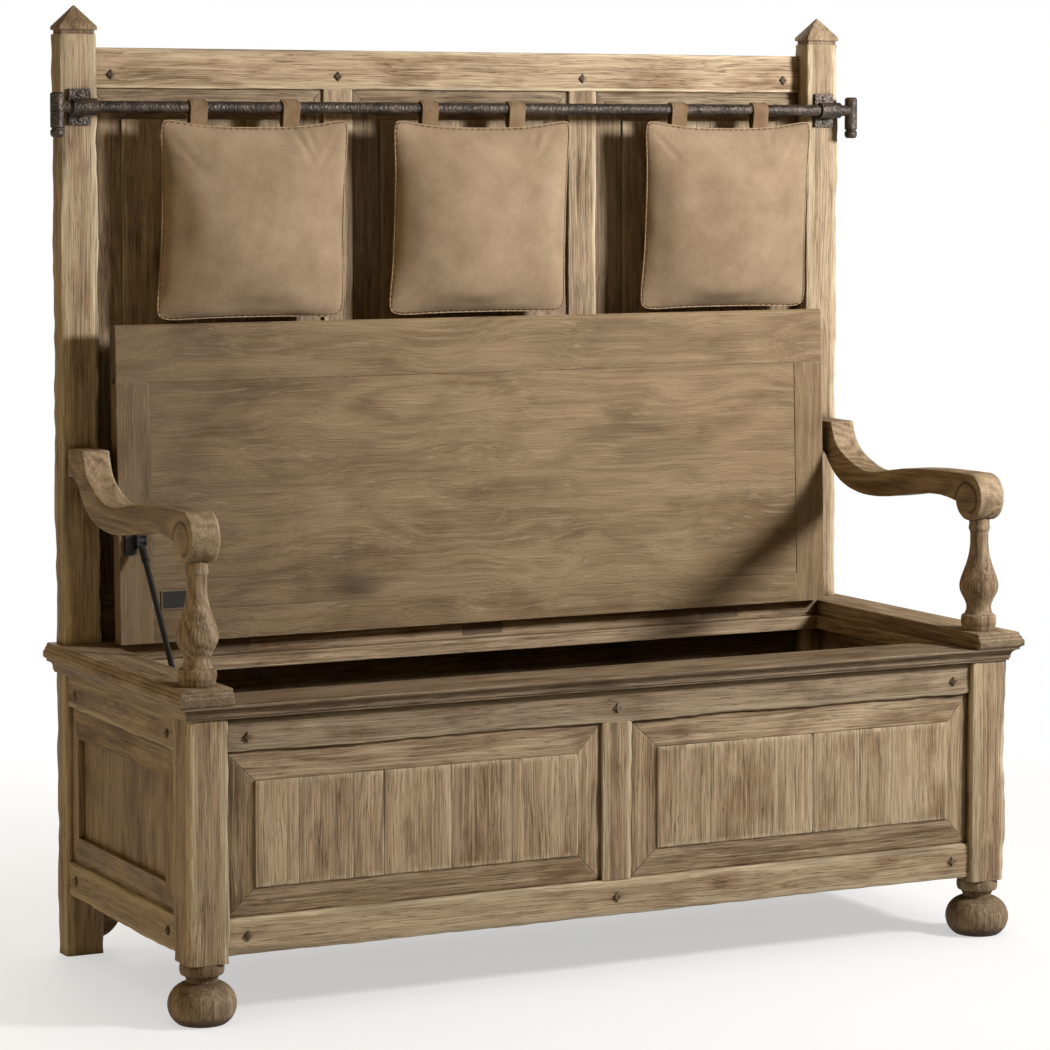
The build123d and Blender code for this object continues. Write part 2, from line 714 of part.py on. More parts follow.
# Lid: two rails, two stiles and a panel held in grooves
with BuildPart(lid_plane) as lid_front_rail:
    slab((-lid_half, lid_half), (lid_rail_line, lid_front), (lid_bottom, lid_top))
    slab((-lid_half, lid_half), (lid_rail_line, lid_rail_line + lid_tongue), lid_tongue_z, Mode.SUBTRACT)
    for sign in (-1, 1):
        tenon_x = both((lid_stile_line + lid_tongue, lid_half - lid_tongue), sign)
        slab(tenon_x, (lid_rail_line, lid_rail_line + lid_tenon), lid_tongue_z, Mode.SUBTRACT)
    with BuildSketch(lid_section):
        nose_cut(lid_front - nose_overhang, 1, lid_top)
    extrude(amount=case_width, both=True, mode=Mode.SUBTRACT)
lid_front_rail.part.label = "lid_front_rail"
export_step(lid_front_rail.part, "parts/lid_front_rail.step")

with BuildPart(lid_plane) as lid_rear_rail:
    slab((-lid_stile_line, lid_stile_line), (hinge_edge, lid_panel_line), (lid_bottom, lid_top))
    reach = lid_stile_line + lid_tenon
    slab((-reach, reach), (hinge_edge + lid_tongue, lid_panel_line - lid_tongue), lid_tongue_z)
    groove_y = (lid_panel_line - lid_tongue, lid_panel_line)
    slab((-lid_stile_line, lid_stile_line), groove_y, lid_tongue_z, Mode.SUBTRACT)
    for hinge_x in hinge_xs:
        leaf_x = grown((hinge_x - hinge_length / 2, hinge_x + hinge_length / 2), knuckle_gap)
        slab(leaf_x, (hinge_edge, leaf_gap + leaf_thickness), (-leaf_height, lid_top), Mode.SUBTRACT)
        with BuildSketch(lid_section.offset(leaf_x[0])):
            Circle(barrel_radius + moving_gap)
        extrude(amount=leaf_x[1] - leaf_x[0], mode=Mode.SUBTRACT)
lid_rear_rail.part.label = "lid_rear_rail"
export_step(lid_rear_rail.part, "parts/lid_rear_rail.step")

with BuildPart(lid_plane) as lid_stiles:
    for sign in (-1, 1):
        slab(both((lid_stile_line, lid_half), sign), (hinge_edge, lid_rail_line), (lid_bottom, lid_top))
        tenon_x = both((lid_stile_line + lid_tongue, lid_half - lid_tongue), sign)
        slab(tenon_x, (lid_rail_line, lid_rail_line + lid_tenon), lid_tongue_z)
        groove_x = both((lid_stile_line, lid_stile_line + lid_tongue), sign)
        slab(groove_x, (lid_panel_line, lid_rail_line), lid_tongue_z, Mode.SUBTRACT)
        mortise_x = both((lid_stile_line, lid_stile_line + lid_tenon), sign)
        mortise_y = (hinge_edge + lid_tongue, lid_panel_line - lid_tongue)
        slab(mortise_x, mortise_y, lid_tongue_z, Mode.SUBTRACT)
lid_stiles.part.label = "lid_stiles"
export_step(lid_stiles.part, "parts/lid_stiles.step")

with BuildPart(lid_plane) as lid_panel:
    panel_y_span = (lid_panel_line, lid_rail_line)
    panel_z_span = (lid_bottom + lid_panel_drop, lid_top - lid_panel_drop)
    slab((-lid_stile_line, lid_stile_line), panel_y_span, panel_z_span)
    reach = lid_stile_line + lid_tongue
    slab((-reach, reach), panel_y_span, lid_tongue_z)
    slab((-lid_stile_line, lid_stile_line), grown(panel_y_span, lid_tongue), lid_tongue_z)
lid_panel.part.label = "lid_panel"
export_step(lid_panel.part, "parts/lid_panel.step")

# Butt hinges: fixed leaves with two knuckles, lid leaves with one, and their pins
knuckle = hinge_length / 3
web_foot = -barrel_radius - moving_gap


def hinge_leaf(section, inner_y, outer_y, runs, hinge_x):
    end = hinge_x - hinge_length / 2
    with BuildSketch(section.offset(end)) as leaf:
        with Locations(((inner_y + outer_y) / 2, (web_foot - leaf_height) / 2)):
            Rectangle(outer_y - inner_y, leaf_height + web_foot)
    extrude(leaf.sketch, amount=hinge_length)
    for start, stop in runs:
        with BuildSketch(section.offset(end + start)) as barrel:
            with Locations(((inner_y + outer_y) / 2, (web_foot - 1.0) / 2)):
                Rectangle(outer_y - inner_y, 1.0 - web_foot)
            Circle(barrel_radius)
            Circle(pin_radius + running_fit, mode=Mode.SUBTRACT)
        extrude(barrel.sketch, amount=stop - start)


fixed_section = Plane((0, hinge_y, hinge_z), x_dir=(0, 1, 0), z_dir=(1, 0, 0))
outer_runs = ((0, knuckle - knuckle_gap), (2 * knuckle + knuckle_gap, hinge_length))
middle_runs = ((knuckle, 2 * knuckle),)
with BuildPart() as hinge_fixed_leaves:
    for hinge_x in hinge_xs:
        hinge_leaf(fixed_section, leaf_gap, leaf_gap + leaf_thickness, outer_runs, hinge_x)
hinge_fixed_leaves.part.label = "hinge_fixed_leaves"
export_step(hinge_fixed_leaves.part, "parts/hinge_fixed_leaves.step")

with BuildPart() as hinge_lid_leaves:
    for hinge_x in hinge_xs:
        hinge_leaf(lid_section, leaf_gap, leaf_gap + leaf_thickness, middle_runs, hinge_x)
hinge_lid_leaves.part.label = "hinge_lid_leaves"
export_step(hinge_lid_leaves.part, "parts/hinge_lid_leaves.step")

with BuildPart() as hinge_pins:
    for hinge_x in hinge_xs:
        with BuildSketch(fixed_section.offset(hinge_x - hinge_length / 2)):
            Circle(pin_radius)
        extrude(amount=hinge_length)
hinge_pins.part.label = "hinge_pins"
export_step(hinge_pins.part, "parts/hinge_pins.step")

# Lid stay. The eye turns on a pin at the lid and the tube slides over the rod
stay_top = lid_plane.from_local_coords((stay_x, stay_reach, lid_bottom - stay_drop))
stay_closed_y = hinge_y - stay_reach
stay_closed_z = hinge_z + lid_bottom - stay_drop
foot_at = (front_y + stay_foot_y, stay_foot_z)
stay_open = hypot(stay_top.Y - foot_at[0], stay_top.Z - foot_at[1])
stay_closed = hypot(stay_closed_y - foot_at[0], stay_closed_z - foot_at[1])
stay_down = Vector(0, foot_at[0] - stay_top.Y, foot_at[1] - stay_top.Z).normalized()
stay_line = Plane(stay_top, x_dir=(1, 0, 0), z_dir=stay_down)
stay_eye = Plane(stay_top, x_dir=stay_down, z_dir=(1, 0, 0))
tube_end = stay_closed - stay_fitting - moving_gap
tube_start = stay_open - tube_end
rod_length = tube_start + stay_overlap
eye_side = stay_eye_width / 2
ear_side = eye_side + moving_gap

with BuildPart(lid_plane) as stay_lid_bracket:
    ear_x = (stay_x + ear_side, stay_x + ear_side + stay_plate)
    plate_x = (stay_x + ear_side, bed_inner - stay_clear)
    plate_y = (stay_reach - 23.0, stay_reach + 23.0)
    slab(plate_x, plate_y, (lid_bottom - stay_plate, lid_bottom))
    slab(ear_x, grown((stay_reach, stay_reach), 9.0), (lid_bottom - stay_drop - 9.0, lid_bottom))
    with BuildSketch(lid_section.offset(stay_x)):
        with Locations((stay_reach, lid_bottom - stay_drop)):
            Circle(stay_pin_radius + running_fit)
    extrude(amount=40.0, mode=Mode.SUBTRACT)
stay_lid_bracket.part.label = "stay_lid_bracket"
export_step(stay_lid_bracket.part, "parts/stay_lid_bracket.step")

with BuildPart() as stay_pin:
    with BuildSketch(lid_section.offset(stay_x - ear_side)):
        with Locations((stay_reach, lid_bottom - stay_drop)):
            Circle(stay_pin_radius)
    extrude(amount=2 * ear_side + stay_plate)
    with BuildSketch(lid_section.offset(stay_x - ear_side)):
        with Locations((stay_reach, lid_bottom - stay_drop)):
            Circle(stay_eye_radius + 1.0)
    extrude(amount=-stay_plate)
stay_pin.part.label = "stay_pin"
export_step(stay_pin.part, "parts/stay_pin.step")

with BuildPart() as stay_rod:
    with BuildSketch(stay_eye.offset(-eye_side)):
        Circle(stay_eye_radius)
        with Locations((stay_fitting / 4, 0)):
            Rectangle(stay_fitting / 2, stay_rod_radius * 1.4)
    extrude(amount=stay_eye_width)
    with BuildSketch(stay_line.offset(stay_fitting / 2)):
        Circle(stay_rod_radius * 1.3)
    extrude(amount=stay_fitting / 2)
    with BuildSketch(stay_line.offset(stay_fitting)):
        Circle(stay_rod_radius)
    extrude(amount=rod_length - stay_fitting)
    with BuildSketch(stay_eye.offset(-eye_side)):
        Circle(stay_pin_radius + running_fit)
    extrude(amount=stay_eye_width, mode=Mode.SUBTRACT)
stay_rod.part.label = "stay_rod"
export_step(stay_rod.part, "parts/stay_rod.step")

plate_gap = stay_tube_radius + 5.0
with BuildPart() as stay_tube:
    with BuildSketch(stay_line.offset(tube_start)):
        Circle(stay_tube_radius)
    extrude(amount=tube_end - stay_eye_radius - 4.0)
    with BuildSketch(stay_line.offset(tube_start)):
        Circle(stay_rod_radius + moving_gap)
    extrude(amount=tube_end - stay_eye_radius - 6.0, mode=Mode.SUBTRACT)
    foot_plane = Plane((-stay_x, foot_at[0], foot_at[1]), x_dir=stay_down, z_dir=(1, 0, 0))
    with BuildSketch(foot_plane.offset(-eye_side)):
        Circle(stay_eye_radius)
        with Locations((-stay_eye_radius / 2 - 4.0, 0)):
            Rectangle(stay_eye_radius, stay_eye_radius)
    extrude(amount=stay_eye_width)
    with BuildSketch(foot_plane.offset(-plate_gap + moving_gap)):
        Circle(stay_pin_radius)
    extrude(amount=plate_gap - moving_gap)
stay_tube.part.label = "stay_tube"
export_step(stay_tube.part, "parts/stay_tube.step")

plate_inner = stay_x + plate_gap
batten_inner = plate_inner + stay_plate
with BuildPart() as stay_chest_bracket:
    foot_span = grown((foot_at[0], foot_at[0]), batten_width / 2 - 8.0)
    slab((-plate_inner, -batten_inner), foot_span, grown((foot_at[1], foot_at[1]), 34.0))
stay_chest_bracket.part.label = "stay_chest_bracket"
export_step(stay_chest_bracket.part, "parts/stay_chest_bracket.step")

with BuildPart() as stay_batten:
    batten_y = grown((foot_at[0], foot_at[0]), batten_width / 2)
    slab((-batten_inner, -side_inner), batten_y, (floor_z[1], post_top))
stay_batten.part.label = "stay_batten"
export_step(stay_batten.part, "parts/stay_batten.step")

# Arms: a flat root on the rear post, a swept middle and a scroll over the support
arm_run = rear_face - scroll_at
socket_z = scroll_z - scroll_radius + support_seat


def along(share):
    return scroll_at + share * arm_run


throat = radians(-15)
throat_y = scroll_at + scroll_radius * cos(throat)
throat_z = scroll_z + scroll_radius * sin(throat)
for side, sign in sides:
    with BuildPart() as arm:
        with BuildSketch(Plane.YZ.offset(sign * arm_x)):
            with BuildLine():
                Line((rear_face, arm_top), (rear_face - arm_flat, arm_top))
                Spline(
                    (rear_face - arm_flat, arm_top),
                    (along(0.83), arm_dip + arm_sag * 0.54),
                    (along(0.748), arm_dip + arm_sag * 0.2),
                    (along(0.635), arm_dip),
                    (along(0.47), arm_dip + arm_lift * 0.4),
                    (along(0.25), arm_dip + arm_lift * 0.9),
                    (scroll_at, arm_front_top),
                    tangents=((-0.15, -1), (-1, 0)),
                    tangent_scalars=(1, 1),
                )
                ThreePointArc(
                    (scroll_at, arm_front_top),
                    (scroll_at - scroll_radius, scroll_z),
                    (scroll_at, scroll_z - scroll_radius),
                )
                ThreePointArc(
                    (scroll_at, scroll_z - scroll_radius),
                    (scroll_at + scroll_radius * 0.75, scroll_z - scroll_radius * sqrt(1 - 0.75**2)),
                    (throat_y, throat_z),
                )
                Spline(
                    (throat_y, throat_z),
                    (along(0.2), arm_dip - arm_depth + arm_lift),
                    (along(0.356), arm_dip - arm_depth + arm_lift * 0.65),
                    (along(0.615), arm_dip - arm_depth),
                    (along(0.742), arm_dip - arm_depth * 0.82),
                    (along(0.853), arm_dip - arm_depth * 0.2),
                    (along(0.92), arm_top - arm_root - 6.0),
                    (rear_face, arm_top - arm_root),
                )
                Line((rear_face, arm_top - arm_root), (rear_face, arm_top))
            make_face()
        extrude(amount=arm_width / 2, both=True)
        tenon_x = (sign * arm_x - tenon_thickness, sign * arm_x + tenon_thickness)
        tenon_z = (arm_top - arm_root + tenon_shoulder, arm_top - tenon_shoulder)
        slab(tenon_x, (rear_face, rear_face + arm_tenon), tenon_z)
        with BuildSketch(Plane.XY.offset(socket_z)):
            with Locations((sign * arm_x, scroll_at)):
                Circle(support_collar + moving_gap)
        extrude(amount=-scroll_radius, mode=Mode.SUBTRACT)
    arm.part.label = f"arm_{side}"
    export_step(arm.part, f"parts/arm_{side}.step")

# Turned arm supports between the end boards and the scrolls, one group
support_height = socket_z - seat_height
with BuildPart() as arm_supports:
    for side, sign in sides:
        support_axis = Axis((sign * arm_x, scroll_at, 0), (0, 0, 1))
        support_plane = Plane((sign * arm_x, scroll_at, seat_height), x_dir=(1, 0, 0), z_dir=(0, -1, 0))
        with BuildSketch(support_plane):
            with BuildLine():
                Polyline((0, 0), (support_radius - 1.5, 0), (support_radius - 1.5, support_height * 0.04))
                ThreePointArc(
                    (support_radius - 1.5, support_height * 0.04),
                    (support_radius, support_height * 0.085),
                    (support_radius - 1.5, support_height * 0.13),
                )
                Line(
                    (support_radius - 1.5, support_height * 0.13),
                    (support_waist + 3, support_height * 0.145),
                )
                Spline(
                    (support_waist + 3, support_height * 0.145),
                    (support_waist, support_height * 0.215),
                    (support_bulb, support_height * 0.355),
                    (support_neck + (support_bulb - support_neck) * 0.5, support_height * 0.56),
                    (support_neck, support_height * 0.82),
                    (support_neck + 1, support_height * 0.885),
                )
                Line((support_neck + 1, support_height * 0.885), (support_collar - 1, support_height * 0.885))
                ThreePointArc(
                    (support_collar - 1, support_height * 0.885),
                    (support_collar, support_height * 0.91),
                    (support_collar - 1, support_height * 0.935),
                )
                Polyline(
                    (support_collar - 1, support_height * 0.935),
                    (support_collar - 1, support_height),
                    (0, support_height),
                    (0, 0),
                )
            make_face()
        revolve(axis=support_axis)
arm_supports.part.label = "arm_supports"
export_step(arm_supports.part, "parts/arm_supports.step")

# Square pegs of the rails, one group
with BuildPart() as oak_pegs:
    with BuildSketch(Plane.XZ.offset(-rail_face)) as front_pegs:
        peg_sketch([(x, z) for x in front_peg_xs for z in front_peg_zs], peg_size)
    extrude(front_pegs.sketch, amount=-peg_depth)
    extrude(front_pegs.sketch, amount=peg_proud, taper=30)
    for sign in (-1, 1):
        with BuildSketch(Plane.YZ.offset(sign * side_face)) as side_pegs:
            peg_sketch([(y, z) for y in side_peg_ys for z in front_peg_zs], peg_size)
        extrude(side_pegs.sketch, amount=-sign * peg_depth)
        extrude(side_pegs.sketch, amount=sign * peg_proud, taper=30)
    with BuildSketch(Plane.XZ.offset(-back_face)) as back_pegs:
        peg_sketch([(x, z) for x in back_peg_xs for z in back_peg_zs], peg_size)
    extrude(back_pegs.sketch, amount=-back_peg_depth)
    extrude(back_pegs.sketch, amount=peg_proud, taper=30)
oak_pegs.part.label = "oak_pegs"
export_step(oak_pegs.part, "parts/oak_pegs.step")

# Iron rod, its brackets and the toggles at its ends
rod_section = Plane((0, rod_y, rod_z), x_dir=(0, 1, 0), z_dir=(1, 0, 0))
with BuildPart() as rod_brackets:
    for sign in (-1, 1):
        centre_x = sign * post_centre
        plate_x = grown((centre_x, centre_x), plate_width / 2)
        plate_z = grown((rod_z, rod_z), plate_height / 2)
        slab(plate_x, (rear_face - plate_thickness, rear_face), plate_z)
        with BuildSketch(rod_section.offset(centre_x - ring_length / 2)):
            Circle(ring_radius)
            with Locations((rod_standoff / 2 - plate_thickness / 2, 0)):
                Rectangle(rod_standoff - plate_thickness, ring_radius * 1.4)
        extrude(amount=ring_length)
        with BuildSketch(rod_section.offset(centre_x - ring_length / 2)):
            Circle(rod_radius + moving_gap)
        extrude(amount=ring_length, mode=Mode.SUBTRACT)
        with BuildSketch(Plane.XZ.offset(-rear_face)):
            with Locations((centre_x, rod_z - screw_offset), (centre_x, rod_z + screw_offset)):
                Circle(screw_radius + running_fit)
        extrude(amount=plate_thickness, mode=Mode.SUBTRACT)
rod_brackets.part.label = "rod_brackets"
export_step(rod_brackets.part, "parts/rod_brackets.step")

with BuildPart() as bracket_screws:
    for sign in (-1, 1):
        spots = [(sign * post_centre, rod_z - screw_offset), (sign * post_centre, rod_z + screw_offset)]
        with BuildSketch(Plane.XZ.offset(-rear_face + plate_thickness)):
            with Locations(*spots):
                Circle(screw_radius)
        extrude(amount=-screw_length)
        with BuildSketch(Plane.XZ.offset(-rear_face + plate_thickness)):
            with Locations(*spots):
                Circle(screw_head)
        extrude(amount=2.0, taper=35)
bracket_screws.part.label = "bracket_screws"
export_step(bracket_screws.part, "parts/bracket_screws.step")

rod_end = toggle_x - toggle_radius + toggle_socket
with BuildPart() as hanging_rod:
    with BuildSketch(rod_section):
        Circle(rod_radius)
    extrude(amount=rod_end, both=True)
hanging_rod.part.label = "hanging_rod"
export_step(hanging_rod.part, "parts/hanging_rod.step")

with BuildPart() as rod_toggles:
    for sign in (-1, 1):
        toggle_plane = Plane((sign * toggle_x, rod_y, rod_z), x_dir=(1, 0, 0), z_dir=(0, -1, 0))
        groove_top = -toggle_below + 17.0
        with BuildSketch(toggle_plane):
            with BuildLine():
                Line((0, -toggle_below), (toggle_radius - 6, -toggle_below))
                ThreePointArc(
                    (toggle_radius - 6, -toggle_below),
                    (toggle_radius - 1.76, -toggle_below + 1.76),
                    (toggle_radius, -toggle_below + 6),
                )
                Polyline(
                    (toggle_radius, -toggle_below + 6),
                    (toggle_radius, groove_top - toggle_groove),
                    (toggle_radius - 2, groove_top - toggle_groove + 1.5),
                    (toggle_radius - 2, groove_top - 1.5),
                    (toggle_radius, groove_top),
                    (toggle_radius, toggle_above - 3),
                    (toggle_radius - 3, toggle_above),
                    (0, toggle_above),
                    (0, -toggle_below),
                )
            make_face()
        revolve(axis=Axis((sign * toggle_x, rod_y, 0), (0, 0, 1)))
        with BuildSketch(rod_section.offset(sign * (toggle_x - toggle_radius - 2))):
            Circle(rod_radius + 0.1)
        extrude(amount=sign * (toggle_socket + 2), mode=Mode.SUBTRACT)
rod_toggles.part.label = "rod_toggles"
export_step(rod_toggles.part, "parts/rod_toggles.step")


# Cushions that hang from the rod by two loops each
def pillow_outline(width, height, pull):
    with BuildLine() as outline:
        ThreePointArc((-width / 2, -height / 2), (0, -height / 2 + pull), (width / 2, -height / 2))
        ThreePointArc((width / 2, -height / 2), (width / 2 - pull, 0), (width / 2, height / 2))
        ThreePointArc((width / 2, height / 2), (0, height / 2 - pull), (-width / 2, height / 2))
        ThreePointArc((-width / 2, height / 2), (-width / 2 + pull, 0), (-width / 2, -height / 2))
    make_face(outline.edges())


tilt = radians(cushion_lean)
lid_tip = hinge_z + hypot(lid_front, lid_bottom)
cushion_height = rod_z - cushion_gap - lid_tip - cushion_clearance
cushion_drop = cushion_gap + cushion_height / 2
cushion_y = rod_y - cushion_set_forward
cushion_z = rod_z - cushion_drop
seam_y = cushion_y - sin(tilt) * cushion_height / 2
seam_z = cushion_z + cos(tilt) * cushion_height / 2
tail_reach = hypot(seam_y - rod_y, seam_z - rod_z)
loop_turn = degrees(atan2(seam_z - rod_z, seam_y - rod_y))
loop_inner = rod_radius + loop_slack
for name, cushion_x in (
    ("left", cushion_left_inset - half_width),
    ("centre", cushion_centre_x),
    ("right", half_width - cushion_right_inset),
):
    loop_xs = (cushion_x + loop_shift - loop_spacing / 2, cushion_x + loop_shift + loop_spacing / 2)
    pillow = Plane((cushion_x, cushion_y, cushion_z), x_dir=(1, 0, 0), z_dir=(0, -cos(tilt), -sin(tilt)))
    half = cushion_thickness / 2
    with BuildPart() as cushion:
        for depth, share, bow in (
            (-1.0, 0.42, -0.9),
            (-0.86, 0.68, -0.8),
            (-0.5, 0.88, -0.1),
            (0.0, 1.0, 1.0),
            (0.5, 0.88, -0.1),
            (0.86, 0.68, -0.8),
            (1.0, 0.42, -0.9),
        ):
            with BuildSketch(pillow.offset(depth * half)):
                pillow_outline(cushion_width * share, cushion_height * share, cushion_pull * bow)
        loft()
        for loop_x in loop_xs:
            with BuildSketch(rod_section.offset(loop_x - loop_width / 2 - moving_gap)):
                with Locations(Rotation(0, 0, loop_turn)):
                    with Locations((tail_reach, 0)):
                        Rectangle(2 * loop_tuck, 2 * loop_thickness + 2 * moving_gap)
            extrude(amount=loop_width + 2 * moving_gap, mode=Mode.SUBTRACT)
    cushion.part.label = f"cushion_{name}"
    export_step(cushion.part, f"parts/cushion_{name}.step")

    with BuildPart() as loops:
        for loop_x in loop_xs:
            with BuildSketch(rod_section.offset(loop_x - loop_width / 2)):
                with Locations(Rotation(0, 0, loop_turn)):
                    with Locations(((tail_reach + loop_tuck) / 2 - moving_gap, 0)):
                        Rectangle(tail_reach + loop_tuck, 2 * loop_thickness)
                Circle(loop_inner + loop_thickness)
                Circle(loop_inner, mode=Mode.SUBTRACT)
            extrude(amount=loop_width)
    loops.part.label = f"loops_{name}"
    export_step(loops.part, f"parts/loops_{name}.step")
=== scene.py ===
import math
import random

import bmesh
import bpy
from mathutils import Matrix, Vector, noise
from mathutils.bvhtree import BVHTree


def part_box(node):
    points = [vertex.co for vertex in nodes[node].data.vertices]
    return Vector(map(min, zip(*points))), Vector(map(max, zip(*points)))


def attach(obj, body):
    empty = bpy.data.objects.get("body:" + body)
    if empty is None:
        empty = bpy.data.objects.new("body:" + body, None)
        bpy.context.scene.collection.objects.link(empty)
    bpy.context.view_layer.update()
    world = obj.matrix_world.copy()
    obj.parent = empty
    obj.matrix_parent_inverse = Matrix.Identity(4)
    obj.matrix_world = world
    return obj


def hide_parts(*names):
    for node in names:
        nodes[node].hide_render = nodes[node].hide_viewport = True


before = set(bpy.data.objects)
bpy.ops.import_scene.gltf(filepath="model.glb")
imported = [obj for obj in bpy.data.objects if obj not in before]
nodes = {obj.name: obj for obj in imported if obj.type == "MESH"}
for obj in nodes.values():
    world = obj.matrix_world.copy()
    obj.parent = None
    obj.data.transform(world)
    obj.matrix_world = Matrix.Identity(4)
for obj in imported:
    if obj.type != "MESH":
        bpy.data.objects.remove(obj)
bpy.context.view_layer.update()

mm = 0.001
tiny = 1e-6
print("frame loaded:", len(nodes), "pieces from the CAD model")


# colours are written as sRGB hex and used as linear values
def tint(hexText):
    parts = [int(hexText[i:i + 2], 16) / 255 for i in (1, 3, 5)]
    return tuple(c / 12.92 if c <= 0.04045 else ((c + 0.055) / 1.055) ** 2.4 for c in parts) + (1.0,)


# values and links for a node's sockets, by name or in order; a node stands for its first output
def plug(tree, node, inputs):
    for key, value in inputs.items() if isinstance(inputs, dict) else enumerate(inputs):
        if isinstance(value, bpy.types.Node):
            value = value.outputs[0]
        if isinstance(value, bpy.types.NodeSocket):
            tree.links.new(value, node.inputs[key])
        else:
            node.inputs[key].default_value = value


# one shader node with its settings, links and colour stops
def add(tree, kind, settings=None, inputs=(), stops=None):
    made = tree.nodes.new("ShaderNode" + kind)
    for key, value in (settings or {}).items():
        setattr(made, key, value)
    plug(tree, made, inputs)
    if stops:
        ramp = made.color_ramp
        ramp.elements[0].position, ramp.elements[0].color = stops[0]
        ramp.elements[-1].position, ramp.elements[-1].color = stops[-1]
        for place, colour in stops[1:-1]:
            ramp.elements.new(place).color = colour
    return made


def newMaterial(name):
    made = bpy.data.materials.new(name)
    made.use_nodes = True
    tree = made.node_tree
    tree.nodes.clear()
    skin = add(tree, "BsdfPrincipled")
    add(tree, "OutputMaterial", inputs={"Surface": skin})
    return made, tree, skin


# grey colour stops from (place, level) pairs
def greys(pairs, gain=1):
    return [(place, (level * gain, level * gain, level * gain, 1)) for place, level in pairs]


# Oak, sawn, wire brushed and bleached: matt and streaky, painted shade in the corners, pale edges that are partly wear
# and partly a painted highlight, pale lime in the open grain.
# A pattern's size is (along, across) the grain in mm. Fibre and pores are coarser than real, so that they show
oakLook = {
    "wave": (260, 90), "fibre": (150, 2.6), "comb": (900, 4.0), "pores": (45, 1.9), "bands": (480, 34),
    "arches": (700, 64), "smudges": (170, 64), "lime": (170, 3.4), "split": (330, 21), "knots": (620, 330),
    "drift": 16 * mm, "pieceJump": (5.3, 3.1, 4.7), "boardJump": (7.9, 6.1, 9.3),
    "archCount": 44.0, "archShare": 0.035, "shares": (0.62, 0.26, 0.34), "boardShares": (0.03, 0.09),
    "toneMiddle": 0.46, "toneAt": (0.3, 0.41, 0.5, 0.6, 0.72),
    "tones": ("#69533C", "#8D765B", "#A58D71", "#B79F81", "#CDB799"),
    "smudge": "#AD967A", "limeTone": "#D2BE9F", "dark": "#3B2A19", "edgeWearAndHighlightTone": "#DDCAA9",
    "smudgeStops": ((0.5, 0), (0.68, 1)), "limeStops": ((0.55, 0), (0.75, 0.6)),
    "poreStops": ((0.57, 0), (0.68, 0.55)), "crackStops": ((0.0, 1), (0.006, 0)),
    "rareStops": ((0.52, 0), (0.6, 0.7)), "eyeStops": ((0.0, 0.85), (0.05, 0.5), (0.11, 0)),
    "rub": 2.8 * mm, "rubRange": (0.86, 0.98, 0.8, 0.0), "scrapeRange": (0.36, 0.6, 0.15, 0.95),
    "glazeRange": (0.48, 0.66, 0.0, 0.6), "cornerShadeReach": 24 * mm,
    "cornerShadeStops": [(0.35, (0.26, 0.19, 0.12, 1)), (0.8, (1, 1, 1, 1))], "endRange": (0.55, 0.8),
    "roughRange": (0.3, 0.7, 0.58, 0.78), "sunk": -0.5, "relief": 1.8 * mm, "reliefShare": 0.6, "shine": 0.32,
}
# detail of each pattern's noise, and a shift that keeps it apart from the others
grainNoise = {"wave": (1, 53.0), "fibre": (4, 0.0), "comb": (1, 41.0), "pores": (2, 3.0), "bands": (3, 7.0),
              "arches": (1.5, 11.0), "smudges": (4, 17.0), "lime": (3, 23.0), "split": (2, 29.0)}


